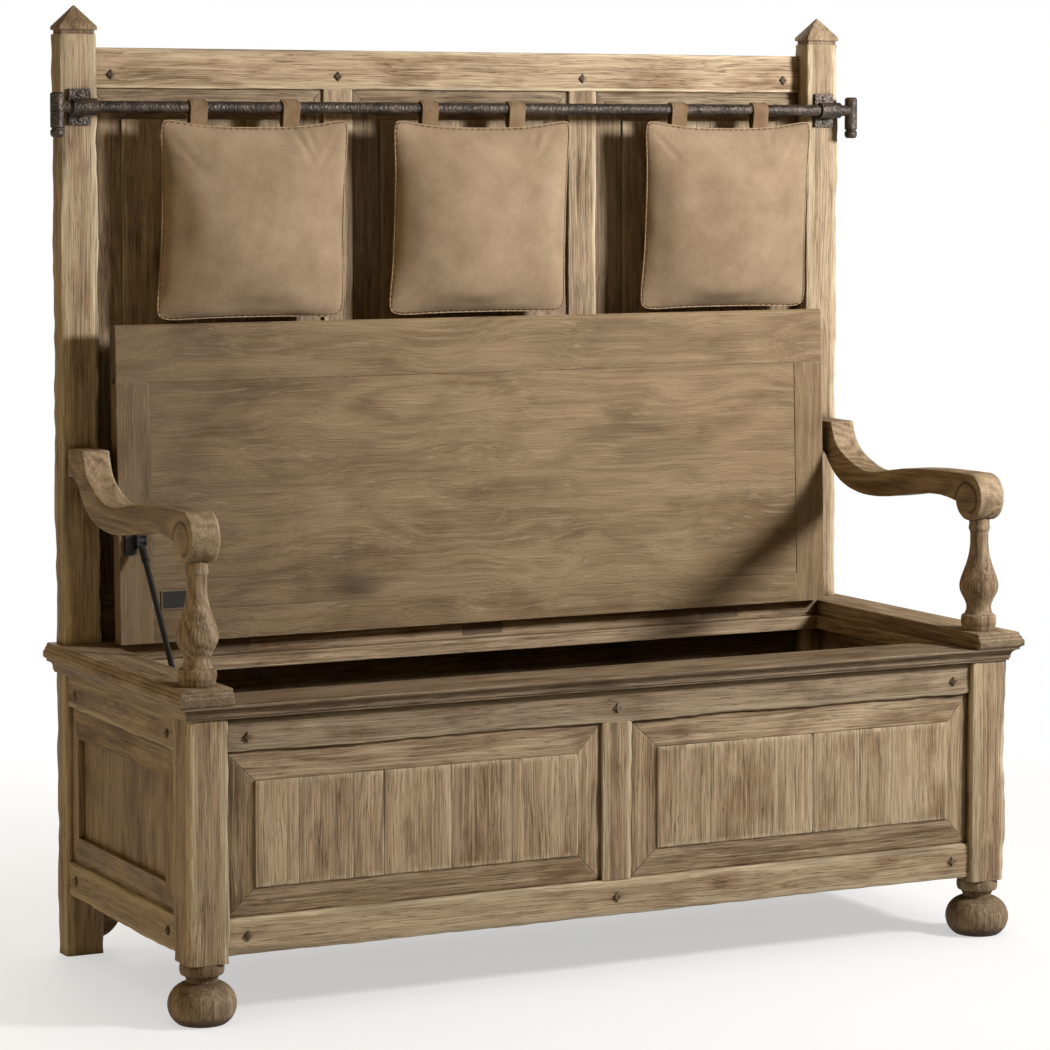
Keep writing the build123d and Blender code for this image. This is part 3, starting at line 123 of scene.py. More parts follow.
def oak(name, way, look, shade=1.1, smudge=0.8, line=1.05, endShade=0.62):
    made, tree, skin = newMaterial(name)
    here = add(tree, "TexCoord")
    x, y, z = add(tree, "SeparateXYZ", inputs={0: here.outputs["Object"]}).outputs
    facing = add(tree, "SeparateXYZ", inputs={0: here.outputs["Normal"]}).outputs
    turned = {"X": (x, y, z), "Y": (y, z, x), "Z": (z, x, y)}
    ways = [add(tree, "CombineXYZ", inputs=turned[w]) for w in way]
    grain = ways[0]
    if len(ways) > 1:  # a mitred frame: the level strips lean up or down, the upright ones don't
        tilt = add(tree, "Math", {"operation": "ABSOLUTE"}, {0: facing[2]})
        upright = add(tree, "Math", {"operation": "LESS_THAN"}, (tilt, 0.03))
        grain = add(tree, "Mix", {"data_type": "VECTOR"}, {0: upright, 4: ways[0], 5: ways[1]}).outputs[1]
    piece = add(tree, "ObjectInfo").outputs["Random"]
    board = add(tree, "Attribute", {"attribute_name": "plank"}).outputs["Fac"]
    for chance, jump in ((piece, look["pieceJump"]), (board, look["boardJump"])):
        grain = add(tree, "VectorMath", {"operation": "MULTIPLY_ADD"}, (chance, jump, grain))

    # every pattern is a noise stretched along the grain; the wave bends the later ones, as no board grows straight
    layer = {}
    for part, (detail, shift) in grainNoise.items():
        along, across = 1000 / look[part][0], 1000 / look[part][1]
        placed = add(tree, "Mapping", inputs={
            "Vector": grain, "Location": (shift, shift * 1.7, shift * 2.3), "Scale": (along, across, across)})
        layer[part] = add(tree, "TexNoise", inputs={"Vector": placed, "Scale": 1.0, "Detail": detail, "Roughness": 0.6})
        if part == "wave":
            grain = add(tree, "VectorMath", {"operation": "MULTIPLY_ADD"},
                        (layer[part], (0, look["drift"], look["drift"]), grain))

    # growth rings cut at a slant: level lines of a long soft noise
    wound = add(tree, "Math", {"operation": "MULTIPLY"}, (layer["arches"], look["archCount"]))
    arches = add(tree, "Math", {"operation": "SINE"}, {0: wound})
    middle = look["toneMiddle"] - sum(look["shares"]) / 2
    tone = add(tree, "Math", {"operation": "MULTIPLY_ADD"}, (arches, look["archShare"], middle))
    parts = (layer["fibre"], layer["comb"], layer["bands"], piece, board)
    for part, share in zip(parts, look["shares"] + look["boardShares"]):
        tone = add(tree, "Math", {"operation": "MULTIPLY_ADD"}, (part, share, tone))
    colour = add(tree, "ValToRGB", inputs={0: tone},
                 stops=[(p, tint(c)) for p, c in zip(look["toneAt"], look["tones"])])

    smudged = add(tree, "ValToRGB", inputs={0: layer["smudges"]}, stops=greys(look["smudgeStops"], smudge))
    limed = add(tree, "ValToRGB", inputs={0: layer["lime"]}, stops=greys(look["limeStops"]))

    # open pores and drying cracks, short dark dashes and rare long lines
    dash = add(tree, "ValToRGB", inputs={0: layer["pores"]}, stops=greys(look["poreStops"], line))
    middle = add(tree, "Math", {"operation": "SUBTRACT"}, (layer["split"], 0.5))
    middle = add(tree, "Math", {"operation": "ABSOLUTE"}, {0: middle})
    gap = add(tree, "ValToRGB", inputs={0: middle}, stops=greys(look["crackStops"]))
    rare = add(tree, "ValToRGB", inputs={0: layer["smudges"]}, stops=greys(look["rareStops"], line))
    gap = add(tree, "Math", {"operation": "MULTIPLY"}, (gap, rare))
    marks = add(tree, "Math", {"operation": "MAXIMUM"}, (dash, gap))

    # knots, small dark eyes far apart
    along, across = 1000 / look["knots"][0], 1000 / look["knots"][1]
    spread = add(tree, "Mapping", inputs={"Vector": grain, "Scale": (along, across, across)})
    eyes = add(tree, "TexVoronoi", inputs={"Vector": spread, "Scale": 1.0}).outputs["Distance"]
    eye = add(tree, "ValToRGB", inputs={0: eyes}, stops=greys(look["eyeStops"]))

    # hewn edges are scraped pale, in patches, and so is any edge that a hand rubs; the pale edges are also a painted
    # highlight where chamfers catch the light
    edge = add(tree, "Attribute", {"attribute_name": "edge"}).outputs["Fac"]
    soft = add(tree, "Bevel", {"samples": 4}, {"Radius": look["rub"]})
    level = add(tree, "VectorMath", {"operation": "DOT_PRODUCT"},
                (soft, add(tree, "NewGeometry").outputs["Normal"])).outputs["Value"]
    rubbed = add(tree, "MapRange", inputs=(level, *look["rubRange"]))
    touched = add(tree, "Math", {"operation": "MAXIMUM"}, (edge, rubbed))
    broken = add(tree, "MapRange", inputs=(layer["lime"], *look["scrapeRange"]))
    paleWearAndHighlight = add(tree, "Math", {"operation": "MULTIPLY"}, (touched, broken))

    # the dark glaze that stays on parts of the edges; painted shade in the carved cuts and, from ambient occlusion, in
    # the corners
    patchy = add(tree, "MapRange", inputs=(layer["bands"], *look["glazeRange"]))
    glazeAndGrooveShade = add(tree, "Math", {"operation": "MULTIPLY"}, (edge, patchy))
    # the stain attribute holds real glaze along the arms' edges and painted shade in their carved grooves
    stain = add(tree, "Attribute", {"attribute_name": "stain"}).outputs["Fac"]
    glazeAndGrooveShade = add(tree, "Math", {"operation": "MAXIMUM"}, (glazeAndGrooveShade, stain))
    # painted shade: ambient occlusion darkens the corners and recesses
    exposed = add(tree, "AmbientOcclusion", {"samples": 6}, {"Distance": look["cornerShadeReach"]}).outputs["AO"]
    cornerShade = add(tree, "ValToRGB", inputs={0: exposed}, stops=look["cornerShadeStops"])

    dark = tint(look["dark"])
    coats = [("MULTIPLY", smudged, tint(look["smudge"])), ("MIX", limed, tint(look["limeTone"])), ("MIX", marks, dark),
             ("MIX", eye, dark), ("MIX", paleWearAndHighlight, tint(look["edgeWearAndHighlightTone"])), ("MIX", glazeAndGrooveShade, dark),
             ("MULTIPLY", 1.0, cornerShade), ("MULTIPLY", 1.0, (shade, shade, shade, 1))]
    if "leftDark" in look:
        dim = add(tree, "MapRange", inputs=(x, *look["leftDark"], 1.0))
        coats.append(("MULTIPLY", 1.0, dim))
    if len(way) == 1 and endShade < 1:  # end grain soaks up more stain
        ends = add(tree, "Math", {"operation": "ABSOLUTE"}, {0: facing["XYZ".index(way)]})
        sawn = add(tree, "MapRange", inputs=(ends, *look["endRange"], 1.0, endShade))
        coats.append(("MULTIPLY", 1.0, sawn))
    for blend, share, coat in coats:
        colour = add(tree, "Mix", {"data_type": "RGBA", "blend_type": blend}, {0: share, 6: colour, 7: coat}).outputs[2]

    rough = add(tree, "MapRange", inputs=(layer["fibre"], *look["roughRange"]))
    relief = layer["fibre"]
    for hollow in (layer["pores"], marks):
        relief = add(tree, "Math", {"operation": "MULTIPLY_ADD"}, (hollow, look["sunk"], relief))
    raised = add(tree, "Bump", inputs={
        "Strength": look["reliefShare"], "Distance": look["relief"], "Height": relief, "Normal": soft})
    plug(tree, skin, {
        "Base Color": colour, "Roughness": rough, "Normal": raised, "Specular IOR Level": look["shine"]})
    return made


oakX = oak("brushed_oak_across", "X", oakLook)
oakY = oak("brushed_oak_deep", "Y", oakLook)
# a lighter copy of the oak for the back top rail: painted light
oakTopLit = oak("brushed_oak_top_rail_painted_light", "X", oakLook, 1.26)
oakZ = oak("brushed_oak_upright", "Z", oakLook)
oakFront = oak("brushed_oak_front_strips", "XZ", oakLook)
oakSide = oak("brushed_oak_side_strips", "YZ", oakLook)
# a darker copy of the oak for the front top rail and seat front: a browner tone and painted shade under the seat's
# overhang
oakUnderSeatShaded = oak("brushed_oak_darker_with_painted_shade", "X", oakLook, 0.76)
lidLook = dict(oakLook, wave=(240, 120), drift=60 * mm, fibre=(200, 2.6), comb=(900, 9), bands=(300, 110),
               smudges=(230, 130), lime=(260, 5), shares=(0.26, 0.06, 0.32), limeTone="#C4AB88", smudge="#A78F72",
               leftDark=(-660 * mm, -150 * mm, 0.68),  # the lid lies in shade towards the left
               tones=("#6E563C", "#8F7555", "#A58A67", "#B59A76", "#C8AF8D"))
oakLid = oak("planed_oak_lid", "X", lidLook, 0.8, 0.55, 0.35)
oakLidUp = oak("planed_oak_lid_stiles", "Z", lidLook, 0.76, 0.55, 0.35)
# a darker copy of the oak for the inside of the chest: painted shade
oakInsideShaded = oak("oak_inside_painted_shade", "X", oakLook, 0.5)
armLines = dict(oakLook, fibre=(210, 3), comb=(900, 8), pores=(34, 2), arches=(900, 150), archCount=150.0,
                archShare=0.06, shares=(0.2, 0.22, 0.38))
oakArm = oak("carved_oak_arm", "Y", armLines, 1.05, 0.5, 0.6, 1.0)
oakFoot = oak("turned_oak_feet", "Z", oakLook, 0.86, endShade=0.85)
# darker copies of the oak for the recessed tall back: painted shade
oakBackShaded = oak("brushed_oak_back_painted_shade", "Z", oakLook, 0.94)
oakBackStripsShaded = oak("brushed_oak_back_strips_painted_shade", "XZ", oakLook, 0.9)
turnedLook = dict(oakLook, arches=(400, 130), archCount=130.0, archShare=0.06)
oakTurned = oak("turned_oak", "Z", turnedLook, 0.98, endShade=0.85)
print("oak done")

# Iron, forged and blackened: dark and half dull, dented by the hammer, brown where it is handled. Sizes in mm, the grit
# coarser than real, so that it shows
ironLook = {"dents": 5.0, "grit": 3.2, "patches": 30, "detail": 3.0, "tones": ((0.38, "#352D27"), (0.66, "#584B40")),
            "roughRange": (0.3, 0.7, 0.34, 0.6), "gritShare": 0.9, "relief": 1.3 * mm, "reliefShare": 0.85,
            "metal": 0.35}
forgedIron, tree, skin = newMaterial("forged_iron")
here = add(tree, "TexCoord").outputs["Object"]
dents = add(tree, "TexVoronoi", inputs={"Vector": here, "Scale": 1000 / ironLook["dents"]}).outputs["Distance"]
grit, patches = [add(tree, "TexNoise", inputs={
    "Vector": here, "Scale": 1000 / ironLook[part], "Detail": ironLook["detail"]}) for part in ("grit", "patches")]
colour = add(tree, "ValToRGB", inputs={0: patches}, stops=[(p, tint(c)) for p, c in ironLook["tones"]])
rough = add(tree, "MapRange", inputs=(grit, *ironLook["roughRange"]))
high = add(tree, "Math", {"operation": "MULTIPLY_ADD"}, (grit, ironLook["gritShare"], dents))
raised = add(tree, "Bump", inputs={"Strength": ironLook["reliefShare"], "Distance": ironLook["relief"], "Height": high})
plug(tree, skin, {"Base Color": colour, "Roughness": rough, "Normal": raised, "Metallic": ironLook["metal"]})

# Steel, turned or ground: even and dark, with fine lines and a little oil. Sizes in mm, the lines coarser than real, so
# that they show
steelLook = {"lines": 1.5, "film": 25, "filmDim": (0.7, 0.68, 0.64, 1), "filmRange": (0.3, 0.7), "relief": 0.3 * mm,
             "reliefShare": 0.15}


def steel(name, base, roughLow, roughHigh, metal):
    made, tree, skin = newMaterial(name)
    here = add(tree, "TexCoord").outputs["Object"]
    fine, film = [add(tree, "TexNoise", inputs={
        "Vector": here, "Scale": 1000 / steelLook[part], "Detail": detail})
        for part, detail in (("lines", 3.0), ("film", 2.0))]
    colour = add(tree, "Mix", {"data_type": "RGBA", "blend_type": "MULTIPLY"},
                 {0: film, 6: tint(base), 7: steelLook["filmDim"]}).outputs[2]
    rough = add(tree, "MapRange", inputs=(film, *steelLook["filmRange"], roughLow, roughHigh))
    raised = add(tree, "Bump", inputs={
        "Strength": steelLook["reliefShare"], "Distance": steelLook["relief"], "Height": fine})
    plug(tree, skin, {"Base Color": colour, "Roughness": rough, "Normal": raised, "Metallic": metal})
    return made


blackSteel = steel("black_enamelled_steel", "#1B1A19", 0.35, 0.5, 0.0)
darkSteel = steel("browned_steel", "#75624C", 0.5, 0.68, 0.3)

# Suede, the napped flesh side of a hide: matt, soft sheen, cloudy where the nap lies the other way. The nap is drawn at
# 2 or 3 mm, coarser than real, so that it shows
suedeLook = {"cloudDetail": 5.0, "cloudRough": 0.62, "napDetail": 3.0, "napShare": 0.35, "toneAt": (0.5, 0.85),
             "relief": 0.8 * mm, "reliefShare": 0.35}
suedeSkin = {"Roughness": 0.92, "Specular IOR Level": 0.15, "Sheen Weight": 0.22, "Sheen Roughness": 0.5,
             "Sheen Tint": tint("#D9C3A6")}


def suede(name, low, high, cloud, nap):
    made, tree, skin = newMaterial(name)
    here = add(tree, "TexCoord").outputs["Object"]
    clouds = add(tree, "TexNoise", inputs={
        "Vector": here, "Scale": 1000 / cloud, "Detail": suedeLook["cloudDetail"],
        "Roughness": suedeLook["cloudRough"]})
    fuzz = add(tree, "TexNoise", inputs={"Vector": here, "Scale": 1000 / nap, "Detail": suedeLook["napDetail"]})
    mixed = add(tree, "Math", {"operation": "MULTIPLY_ADD"}, (fuzz, suedeLook["napShare"], clouds))
    colour = add(tree, "ValToRGB", inputs={0: mixed},
                 stops=[(p, tint(c)) for p, c in zip(suedeLook["toneAt"], (low, high))])
    raised = add(tree, "Bump", inputs={
        "Strength": suedeLook["reliefShare"], "Distance": suedeLook["relief"], "Height": fuzz})
    plug(tree, skin, {"Base Color": colour, "Normal": raised, **suedeSkin})
    return made


cushionSuede = suede("cushion_suede", "#947D64", "#AE967C", 80.0, 3.0)
strapSuede = suede("strap_suede", "#7E654A", "#987E63", 40.0, 3.0)
weltSuede = suede("welt_suede", "#A0866A", "#BCA284", 40.0, 3.0)
threadMaterial = suede("waxed_thread", "#6A543C", "#80674B", 20.0, 2.0)
pegLook = dict(oakLook, tones=("#3A2C20", "#4C3B2B", "#66513B", "#866E53", "#A88F6F"))
pegOak = oak("dark_peg_oak", "Z", pegLook, 0.9)
print("iron, steel and suede done")

# what each CAD piece is made of
finishes = {node: finish for finish, names in (
    (oakZ, "front_panel_left front_panel_right side_panel_left side_panel_right front_muntin back_muntins "
     "front_post_left front_post_right rear_post_left rear_post_right"),
    (oakBackShaded, "back_panel_left back_panel_centre back_panel_right"),
    (oakFront, "front_bevels"),
    (oakBackStripsShaded, "back_bevels"),
    (oakSide, "side_bevels"),
    (oakInsideShaded, "chest_back chest_floor stay_batten"),
    (oakX, "rear_brackets seat_bed_rear rear_strip back_low_rail front_bottom_rail"),
    (oakUnderSeatShaded, "seat_bed_front front_top_rail"),
    (oakY, "seat_bed_left seat_bed_right end_board_left end_board_right side_rails_left side_rails_right"),
    (oakLid, "lid_front_rail lid_rear_rail lid_panel"),
    (oakLidUp, "lid_stiles"),
    (darkSteel, "hinge_fixed_leaves hinge_lid_leaves hinge_pins"),
    (blackSteel, "stay_chest_bracket stay_lid_bracket stay_pin stay_rod stay_tube"),
    (oakTurned, "arm_supports"),
    (oakFoot, "bun_feet"),
    (pegOak, "oak_pegs"),
    (forgedIron, "rod_brackets rod_toggles bracket_screws hanging_rod"),
    (oakTopLit, "back_top_rail"),
    (oakArm, "arm_left arm_right"),
    (cushionSuede, "cushion_left cushion_centre cushion_right"),
    (strapSuede, "loops_left loops_centre loops_right"),
) for node in names.split()}
for name, piece in nodes.items():
    piece.data.materials.clear()
    piece.data.materials.append(finishes[name])
print("finishes laid on", len(finishes), "pieces")


def placed(name, data):
    made = bpy.data.objects.new(name, data)
    bpy.context.collection.objects.link(made)
    return made


def meshOf(name, bm):
    mesh = bpy.data.meshes.new(name)
    bm.to_mesh(mesh)
    bm.free()
    return mesh


# a mesh object at the origin, riding on its body and standing for its CAD nodes
def keep(name, bm, finish, body, stands=(), sharp=32):
    mesh = meshOf(name, bm)
    mesh.materials.append(finish)
    mesh.shade_smooth()
    mesh.set_sharp_from_angle(angle=math.radians(sharp))
    piece = placed(name, mesh)
    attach(piece, body)
    if stands:
        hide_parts(*stands)
    return piece


def block(bm, size, middle=(0, 0, 0)):
    made = bmesh.ops.create_cube(bm, size=1.0)["verts"]
    bmesh.ops.scale(bm, vec=size, verts=made)
    bmesh.ops.translate(bm, vec=middle, verts=made)
    return made


# everything turned about the origin and then put in its place
def turnedTo(bm, angle, axis, place):
    bmesh.ops.rotate(bm, verts=bm.verts, cent=(0, 0, 0), matrix=Matrix.Rotation(angle, 3, axis))
    bmesh.ops.translate(bm, verts=bm.verts, vec=place)


# a timber with hand-hewn corners: the chamfer wanders along the length
def hewnBar(bm, low, high, axis, look, seed):
    paleWearAndHighlight = bm.verts.layers.float.get("edge") or bm.verts.layers.float.new("edge")
    board = bm.verts.layers.float.get("plank") or bm.verts.layers.float.new("plank")
    size = high - low
    block(bm, size, (low + high) / 2)
    across = [a for a in range(3) if a != axis]
    for way in (axis, *across):
        lines = [e for e in bm.edges
                 if e.verts[0][board] == 0 and abs((e.verts[0].co - e.verts[1].co)[way]) > tiny]
        step = look["step"] if way == axis else max(look["grid"], look["chamfer"] * look["perChamfer"])
        cuts = max(1, round(size[way] / step) - 1)
        bmesh.ops.subdivide_edges(bm, edges=lines, cuts=cuts, use_grid_fill=True)
    corners = [e for e in bm.edges if e.verts[0][board] == 0 and all(
        min(abs(v.co[a] - low[a]), abs(v.co[a] - high[a])) < tiny for v in e.verts for a in across)
        and abs((e.verts[0].co - e.verts[1].co)[axis]) > tiny]
    bmesh.ops.bevel(bm, geom=corners, offset=look["chamfer"], offset_type="OFFSET", affect="EDGES",
                    segments=2, profile=0.5, material=-1, clamp_overlap=True)
    reach = look["chamfer"] * 1.02
    # a number of its own for each board, which moves its grain
    mark = 0.05 + 0.95 * ((seed * 0.618) % 1.0)
    for v in [v for v in bm.verts if v[board] == 0]:
        depth = [min(v.co[a] - low[a], high[a] - v.co[a]) for a in across]
        side = [1 if high[a] - v.co[a] < v.co[a] - low[a] else -1 for a in across]
        s = v.co[axis]
        if max(depth) <= reach:
            corner = side[0] * 2 + side[1]
            wander = noise.noise(Vector((s * look["wanderScale"], corner * 3.1, seed)))
            chips = noise.noise(Vector((s * look["chipScale"], corner * 5.7, seed + 9.0)))
            grow = max(look["least"], 1.0 + look["wander"] * wander + look["chips"] * chips)
            for a, d, w in zip(across, depth, side):
                v.co[a] += -w * d * (grow - 1.0)
            # the chamfer is marked pale: wear, and a painted highlight where it catches the light
            v[paleWearAndHighlight] = look["pale"]
        elif min(depth) < tiny:
            flat = 0 if depth[0] < depth[1] else 1
            wave = noise.noise(v.co * look["rippleScale"] + Vector((seed, 0, 0)))
            dip = look["ripple"] * (0.5 + 0.5 * wave)
            v.co[across[flat]] -= side[flat] * dip
        v[board] = mark


def span(node):
    low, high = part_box(node)
    return low.copy(), high.copy()


hewn = {"step": 9 * mm, "grid": 11 * mm, "perChamfer": 2.7, "chamfer": 5.0 * mm, "wander": 1.4, "wanderScale": 7.0,
        "chips": 0.9, "chipScale": 31.0, "least": 0.15, "ripple": 0.7 * mm, "rippleScale": 17.0, "pale": 0.9}
postLook = dict(hewn, chamfer=7.0 * mm, grid=17 * mm)
thinLook = dict(hewn, chamfer=3.2 * mm, grid=8 * mm)
boardLook = dict(hewn, chamfer=0.9 * mm, grid=13 * mm, ripple=0.5 * mm, pale=0.35)


# one piece of hewn bars, each (low, high, seed), in place of a CAD node
def timber(node, bars, axis, look):
    bm = bmesh.new()
    for low, high, seed in bars:
        hewnBar(bm, low, high, axis, look, seed)
    keep("hewn_" + node, bm, finishes[node], "bench", [node])


# front posts
for side, seed in (("left", 2.0), ("right", 5.0)):
    node = f"front_post_{side}"
    timber(node, [(*span(node), seed)], 2, postLook)

# rear posts, with a groove under a pointed cap
capLook = {"point": 35 * mm, "band": 6 * mm, "groove": 7 * mm, "inset": 4 * mm, "tip": 3 * mm, "lap": 2 * mm,
           "rub": 1.5 * mm}
for side, seed in (("left", 11.0), ("right", 14.0)):
    node = f"rear_post_{side}"
    low, high = span(node)
    bandFoot = high.z - capLook["point"] - capLook["band"]
    neck = bandFoot - capLook["groove"]
    bm = bmesh.new()
    hewnBar(bm, low, Vector((high.x, high.y, neck)), 2, postLook, seed)
    inset = Vector((capLook["inset"], capLook["inset"], 0))
    wide, deep = high.x - low.x, high.y - low.y
    xMid, yMid = (low.x + high.x) / 2, (low.y + high.y) / 2
    block(bm, Vector((wide, deep, capLook["groove"] + capLook["lap"])) - 2 * inset,
          (xMid, yMid, neck + capLook["groove"] / 2))
    head = block(bm, (wide, deep, capLook["band"]), (xMid, yMid, bandFoot + capLook["band"] / 2))
    top = [f for f in {f for v in head for f in v.link_faces} if f.normal.z > 0.9]
    point = bmesh.ops.extrude_discrete_faces(bm, faces=top)["faces"][0]
    middle = point.calc_center_median()
    for v in point.verts:
        v.co.x = middle.x + math.copysign(capLook["tip"] / 2, v.co.x - middle.x)
        v.co.y = middle.y + math.copysign(capLook["tip"] / 2, v.co.y - middle.y)
        v.co.z = high.z
    rim = [e for e in {e for v in head for e in v.link_edges} if e.is_valid]
    bmesh.ops.bevel(bm, geom=rim, offset=capLook["rub"], offset_type="OFFSET", affect="EDGES", segments=2, profile=0.5,
                    material=-1, clamp_overlap=True)
    keep("hewn_" + node, bm, finishes[node], "bench", [node])

# chest rails and muntin, cut off at the shoulders, a little inside the timber that they meet
joinLook = {"shoulder": 4 * mm, "lap": 1 * mm, "backMuntin": 56 * mm, "frontMuntinHalf": 28 * mm}
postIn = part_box("front_post_right")[0].x
for node, seed in (("front_top_rail", 21.0), ("front_bottom_rail", 24.0)):
    low, high = span(node)
    low.x, high.x = -postIn - joinLook["shoulder"], postIn + joinLook["shoulder"]
    timber(node, [(low, high, seed)], 0, hewn)
low, high = span("front_muntin")
low.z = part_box("front_bottom_rail")[1].z - joinLook["lap"]
high.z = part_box("front_top_rail")[0].z + joinLook["lap"]
timber("front_muntin", [(low, high, 31.0)], 2, hewn)
for side, seed in (("left", 48.0), ("right", 41.0)):
    node = f"side_rails_{side}"
    low, high = span(node)
    low.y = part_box("front_post_left")[1].y - joinLook["shoulder"]
    high.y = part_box("rear_post_left")[0].y + joinLook["shoulder"]
    bars = []
    for i, rail in enumerate(("front_bottom_rail", "front_top_rail")):
        low.z, high.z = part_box(rail)[0].z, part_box(rail)[1].z
        bars.append((low.copy(), high.copy(), seed + 3 * i))
    timber(node, bars, 1, hewn)

# tall back: top rail and two muntins
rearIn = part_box("rear_post_right")[0].x
low, high = span("back_top_rail")
low.x, high.x = -rearIn - joinLook["shoulder"], rearIn + joinLook["shoulder"]
timber("back_top_rail", [(low, high, 51.0)], 0, thinLook)
low, high = span("back_muntins")  # its two sides bound the bays of the tall back as well
low.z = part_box("back_low_rail")[1].z - joinLook["lap"]
high.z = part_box("back_top_rail")[0].z + joinLook["lap"]
width = joinLook["backMuntin"]
timber("back_muntins", [(low, Vector((low.x + width, high.y, high.z)), 61.0),
                        (Vector((high.x - width, low.y, low.z)), high, 65.0)], 2, thinLook)
print("hewn timbers done")


# upright boards of uneven width, side by side between two lines; lengths in mm
plankLook = {"shares": (0.6, 1.4), "lift": 0.5, "joints": (0.05, 0.1, 0.1, 0.7), "seedStep": 3.7, "face": 1.5,
             "brokenPale": (0.4, 1.0), "brokenDeep": 1.4}


def boards(bm, low, high, count, seed):
    rng = random.Random(seed)
    shares = [rng.uniform(*plankLook["shares"]) for i in range(count)]
    left = low.x
    for i, share in enumerate(shares):
        right = left + (high.x - low.x) * share / sum(shares)
        lift = rng.uniform(0.0, plankLook["lift"]) * mm
        joint = rng.choice(plankLook["joints"]) * mm
        hewnBar(bm, Vector((left + joint, low.y + lift, low.z)), Vector((right, high.y, high.z)), 2, boardLook,
                seed + plankLook["seedStep"] * i)
        left = right
    paleWearAndHighlight = bm.verts.layers.float.get("edge")
    for v in bm.verts:  # broken fibres along the sawn ends
        atFace = low.y - tiny < v.co.y < low.y + plankLook["face"] * mm
        if atFace and min(v.co.z - low.z, high.z - v.co.z) < 1e-5:
            v[paleWearAndHighlight] = rng.uniform(*plankLook["brokenPale"])
            v.co.y += rng.uniform(0.0, plankLook["brokenDeep"]) * mm


# a planked field between its bevels, on the panel behind it
def planked(node, field, ends, opening, panelSeed, seed):
    low, high = span(node)
    rear, bevel = low.y + field["thick"], field["bevel"]
    bm = bmesh.new()
    hewnBar(bm, Vector((low.x, rear, low.z)), high, 2, boardLook, panelSeed)
    boards(bm, Vector((ends[0] + bevel, low.y, opening[0] + bevel)),
           Vector((ends[1] - bevel, rear, opening[1] - bevel)), field["count"], seed)
    keep("planked_" + node, bm, finishes[node], "bench", [node])


# planked fields of the chest front and of the tall back
frontField = {"bevel": 46 * mm, "thick": 11 * mm, "count": 6}
backField = {"bevel": 52 * mm, "thick": 8 * mm, "count": 4}
muntinHalf = joinLook["frontMuntinHalf"]
opening = (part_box("front_bottom_rail")[1].z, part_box("front_top_rail")[0].z)
for side, seed, bay in (("left", 71.0, (-postIn, -muntinHalf)), ("right", 83.0, (muntinHalf, postIn))):
    planked(f"front_panel_{side}", frontField, bay, opening, seed + 40, seed)
opening = (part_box("back_low_rail")[1].z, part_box("back_top_rail")[0].z)
bays = {"left": (-rearIn, low.x), "centre": (low.x + width, high.x - width), "right": (high.x, rearIn)}
for i, (side, bay) in enumerate(bays.items()):
    planked(f"back_panel_{side}", backField, bay, opening, 140.0 + i, 101.0 + 9 * i)
print("planks done")


# the mesh that an object shows once its modifiers have run, after which the object goes
def settled(piece):
    mesh = bpy.data.meshes.new_from_object(piece.evaluated_get(bpy.context.evaluated_depsgraph_get()))
    bpy.data.objects.remove(piece)
    return mesh


# vertices moved half way to the middle of their neighbours, some times over
def relax(bm, verts, times):
    for i in range(times):
        bmesh.ops.smooth_vert(bm, verts=verts, factor=0.5, use_axis_x=True, use_axis_y=True, use_axis_z=True)


# arms: sawn from one board, edges rubbed round, a volute cut into both sides of the scroll
armLook = {"voxel": 1.9 * mm, "rub": 8, "scroll": (-253.5 * mm, 752 * mm), "from": 42 * mm, "step": 32 * mm,
           "turns": 0.85, "start": math.radians(-15), "fade": 0.8, "depth": 3.0 * mm, "width": 2.4 * mm,
           "cheek": 6 * mm, "reach": 46 * mm, "grooveShade": 0.8, "pale": 2.6, "stain": 0.45, "stainAt": (0.9, 0.09),
           "stainScale": 60.0, "dip": 0.5 * mm, "dipScale": 45.0}
for side in ("left", "right"):
    node = f"arm_{side}"
    low, high = span(node)
    bm = bmesh.new()
    bm.from_mesh(nodes[node].data)
    bmesh.ops.remove_doubles(bm, verts=bm.verts, dist=1e-5)
    sawn = BVHTree.FromBMesh(bm)
    blank = placed("arm_blank", meshOf("arm_blank", bm))
    remesh = blank.modifiers.new("even", "REMESH")
    remesh.mode, remesh.voxel_size = "VOXEL", armLook["voxel"]
    bm = bmesh.new()
    bm.from_mesh(settled(blank))
    for v in bm.verts:
        v.co = sawn.find_nearest(v.co)[0]
    relax(bm, bm.verts, armLook["rub"])
    bm.normal_update()
    paleWearAndHighlight, stain = bm.verts.layers.float.new("edge"), bm.verts.layers.float.new("stain")
    for v in bm.verts:
        cheek = min(v.co.x - low.x, high.x - v.co.x)
        bend = max(0.0, 1.0 - abs(v.normal.x)) * abs(v.normal.x)
        # rounded edges marked pale: wear, and a painted highlight
        v[paleWearAndHighlight] = min(1.0, armLook["pale"] * bend)
        rounded = max(0.0, 1.0 - abs(abs(v.normal.x) - armLook["stainAt"][0]) / armLook["stainAt"][1])
        v[stain] = armLook["stain"] * rounded * (0.5 + noise.noise(v.co * armLook["stainScale"]))
        dy, dz = v.co.y - armLook["scroll"][0], v.co.z - armLook["scroll"][1]
        away, turn = math.hypot(dy, dz), math.atan2(dz, dy)
        if cheek < armLook["cheek"] and away < armLook["reach"]:
            swept = (turn - armLook["start"]) % (2 * math.pi)
            line = armLook["from"] - armLook["step"] * swept / (2 * math.pi)
            fade = min(1.0, max(0.0, (armLook["turns"] * 2 * math.pi - swept) / armLook["fade"]))
            cut = fade * math.exp(-((away - line) / armLook["width"]) ** 2)
            v.co.x -= math.copysign(armLook["depth"] * cut, v.co.x - (low.x + high.x) / 2)
            # painted shade in the carved groove
            v[stain] = max(v[stain], armLook["grooveShade"] * cut)
        v.co -= v.normal * (armLook["dip"] * (0.5 + 0.5 * noise.noise(v.co * armLook["dipScale"])))
    keep(f"carved_{node}", bm, oakArm, "bench", [node], 60)
print("arms done")

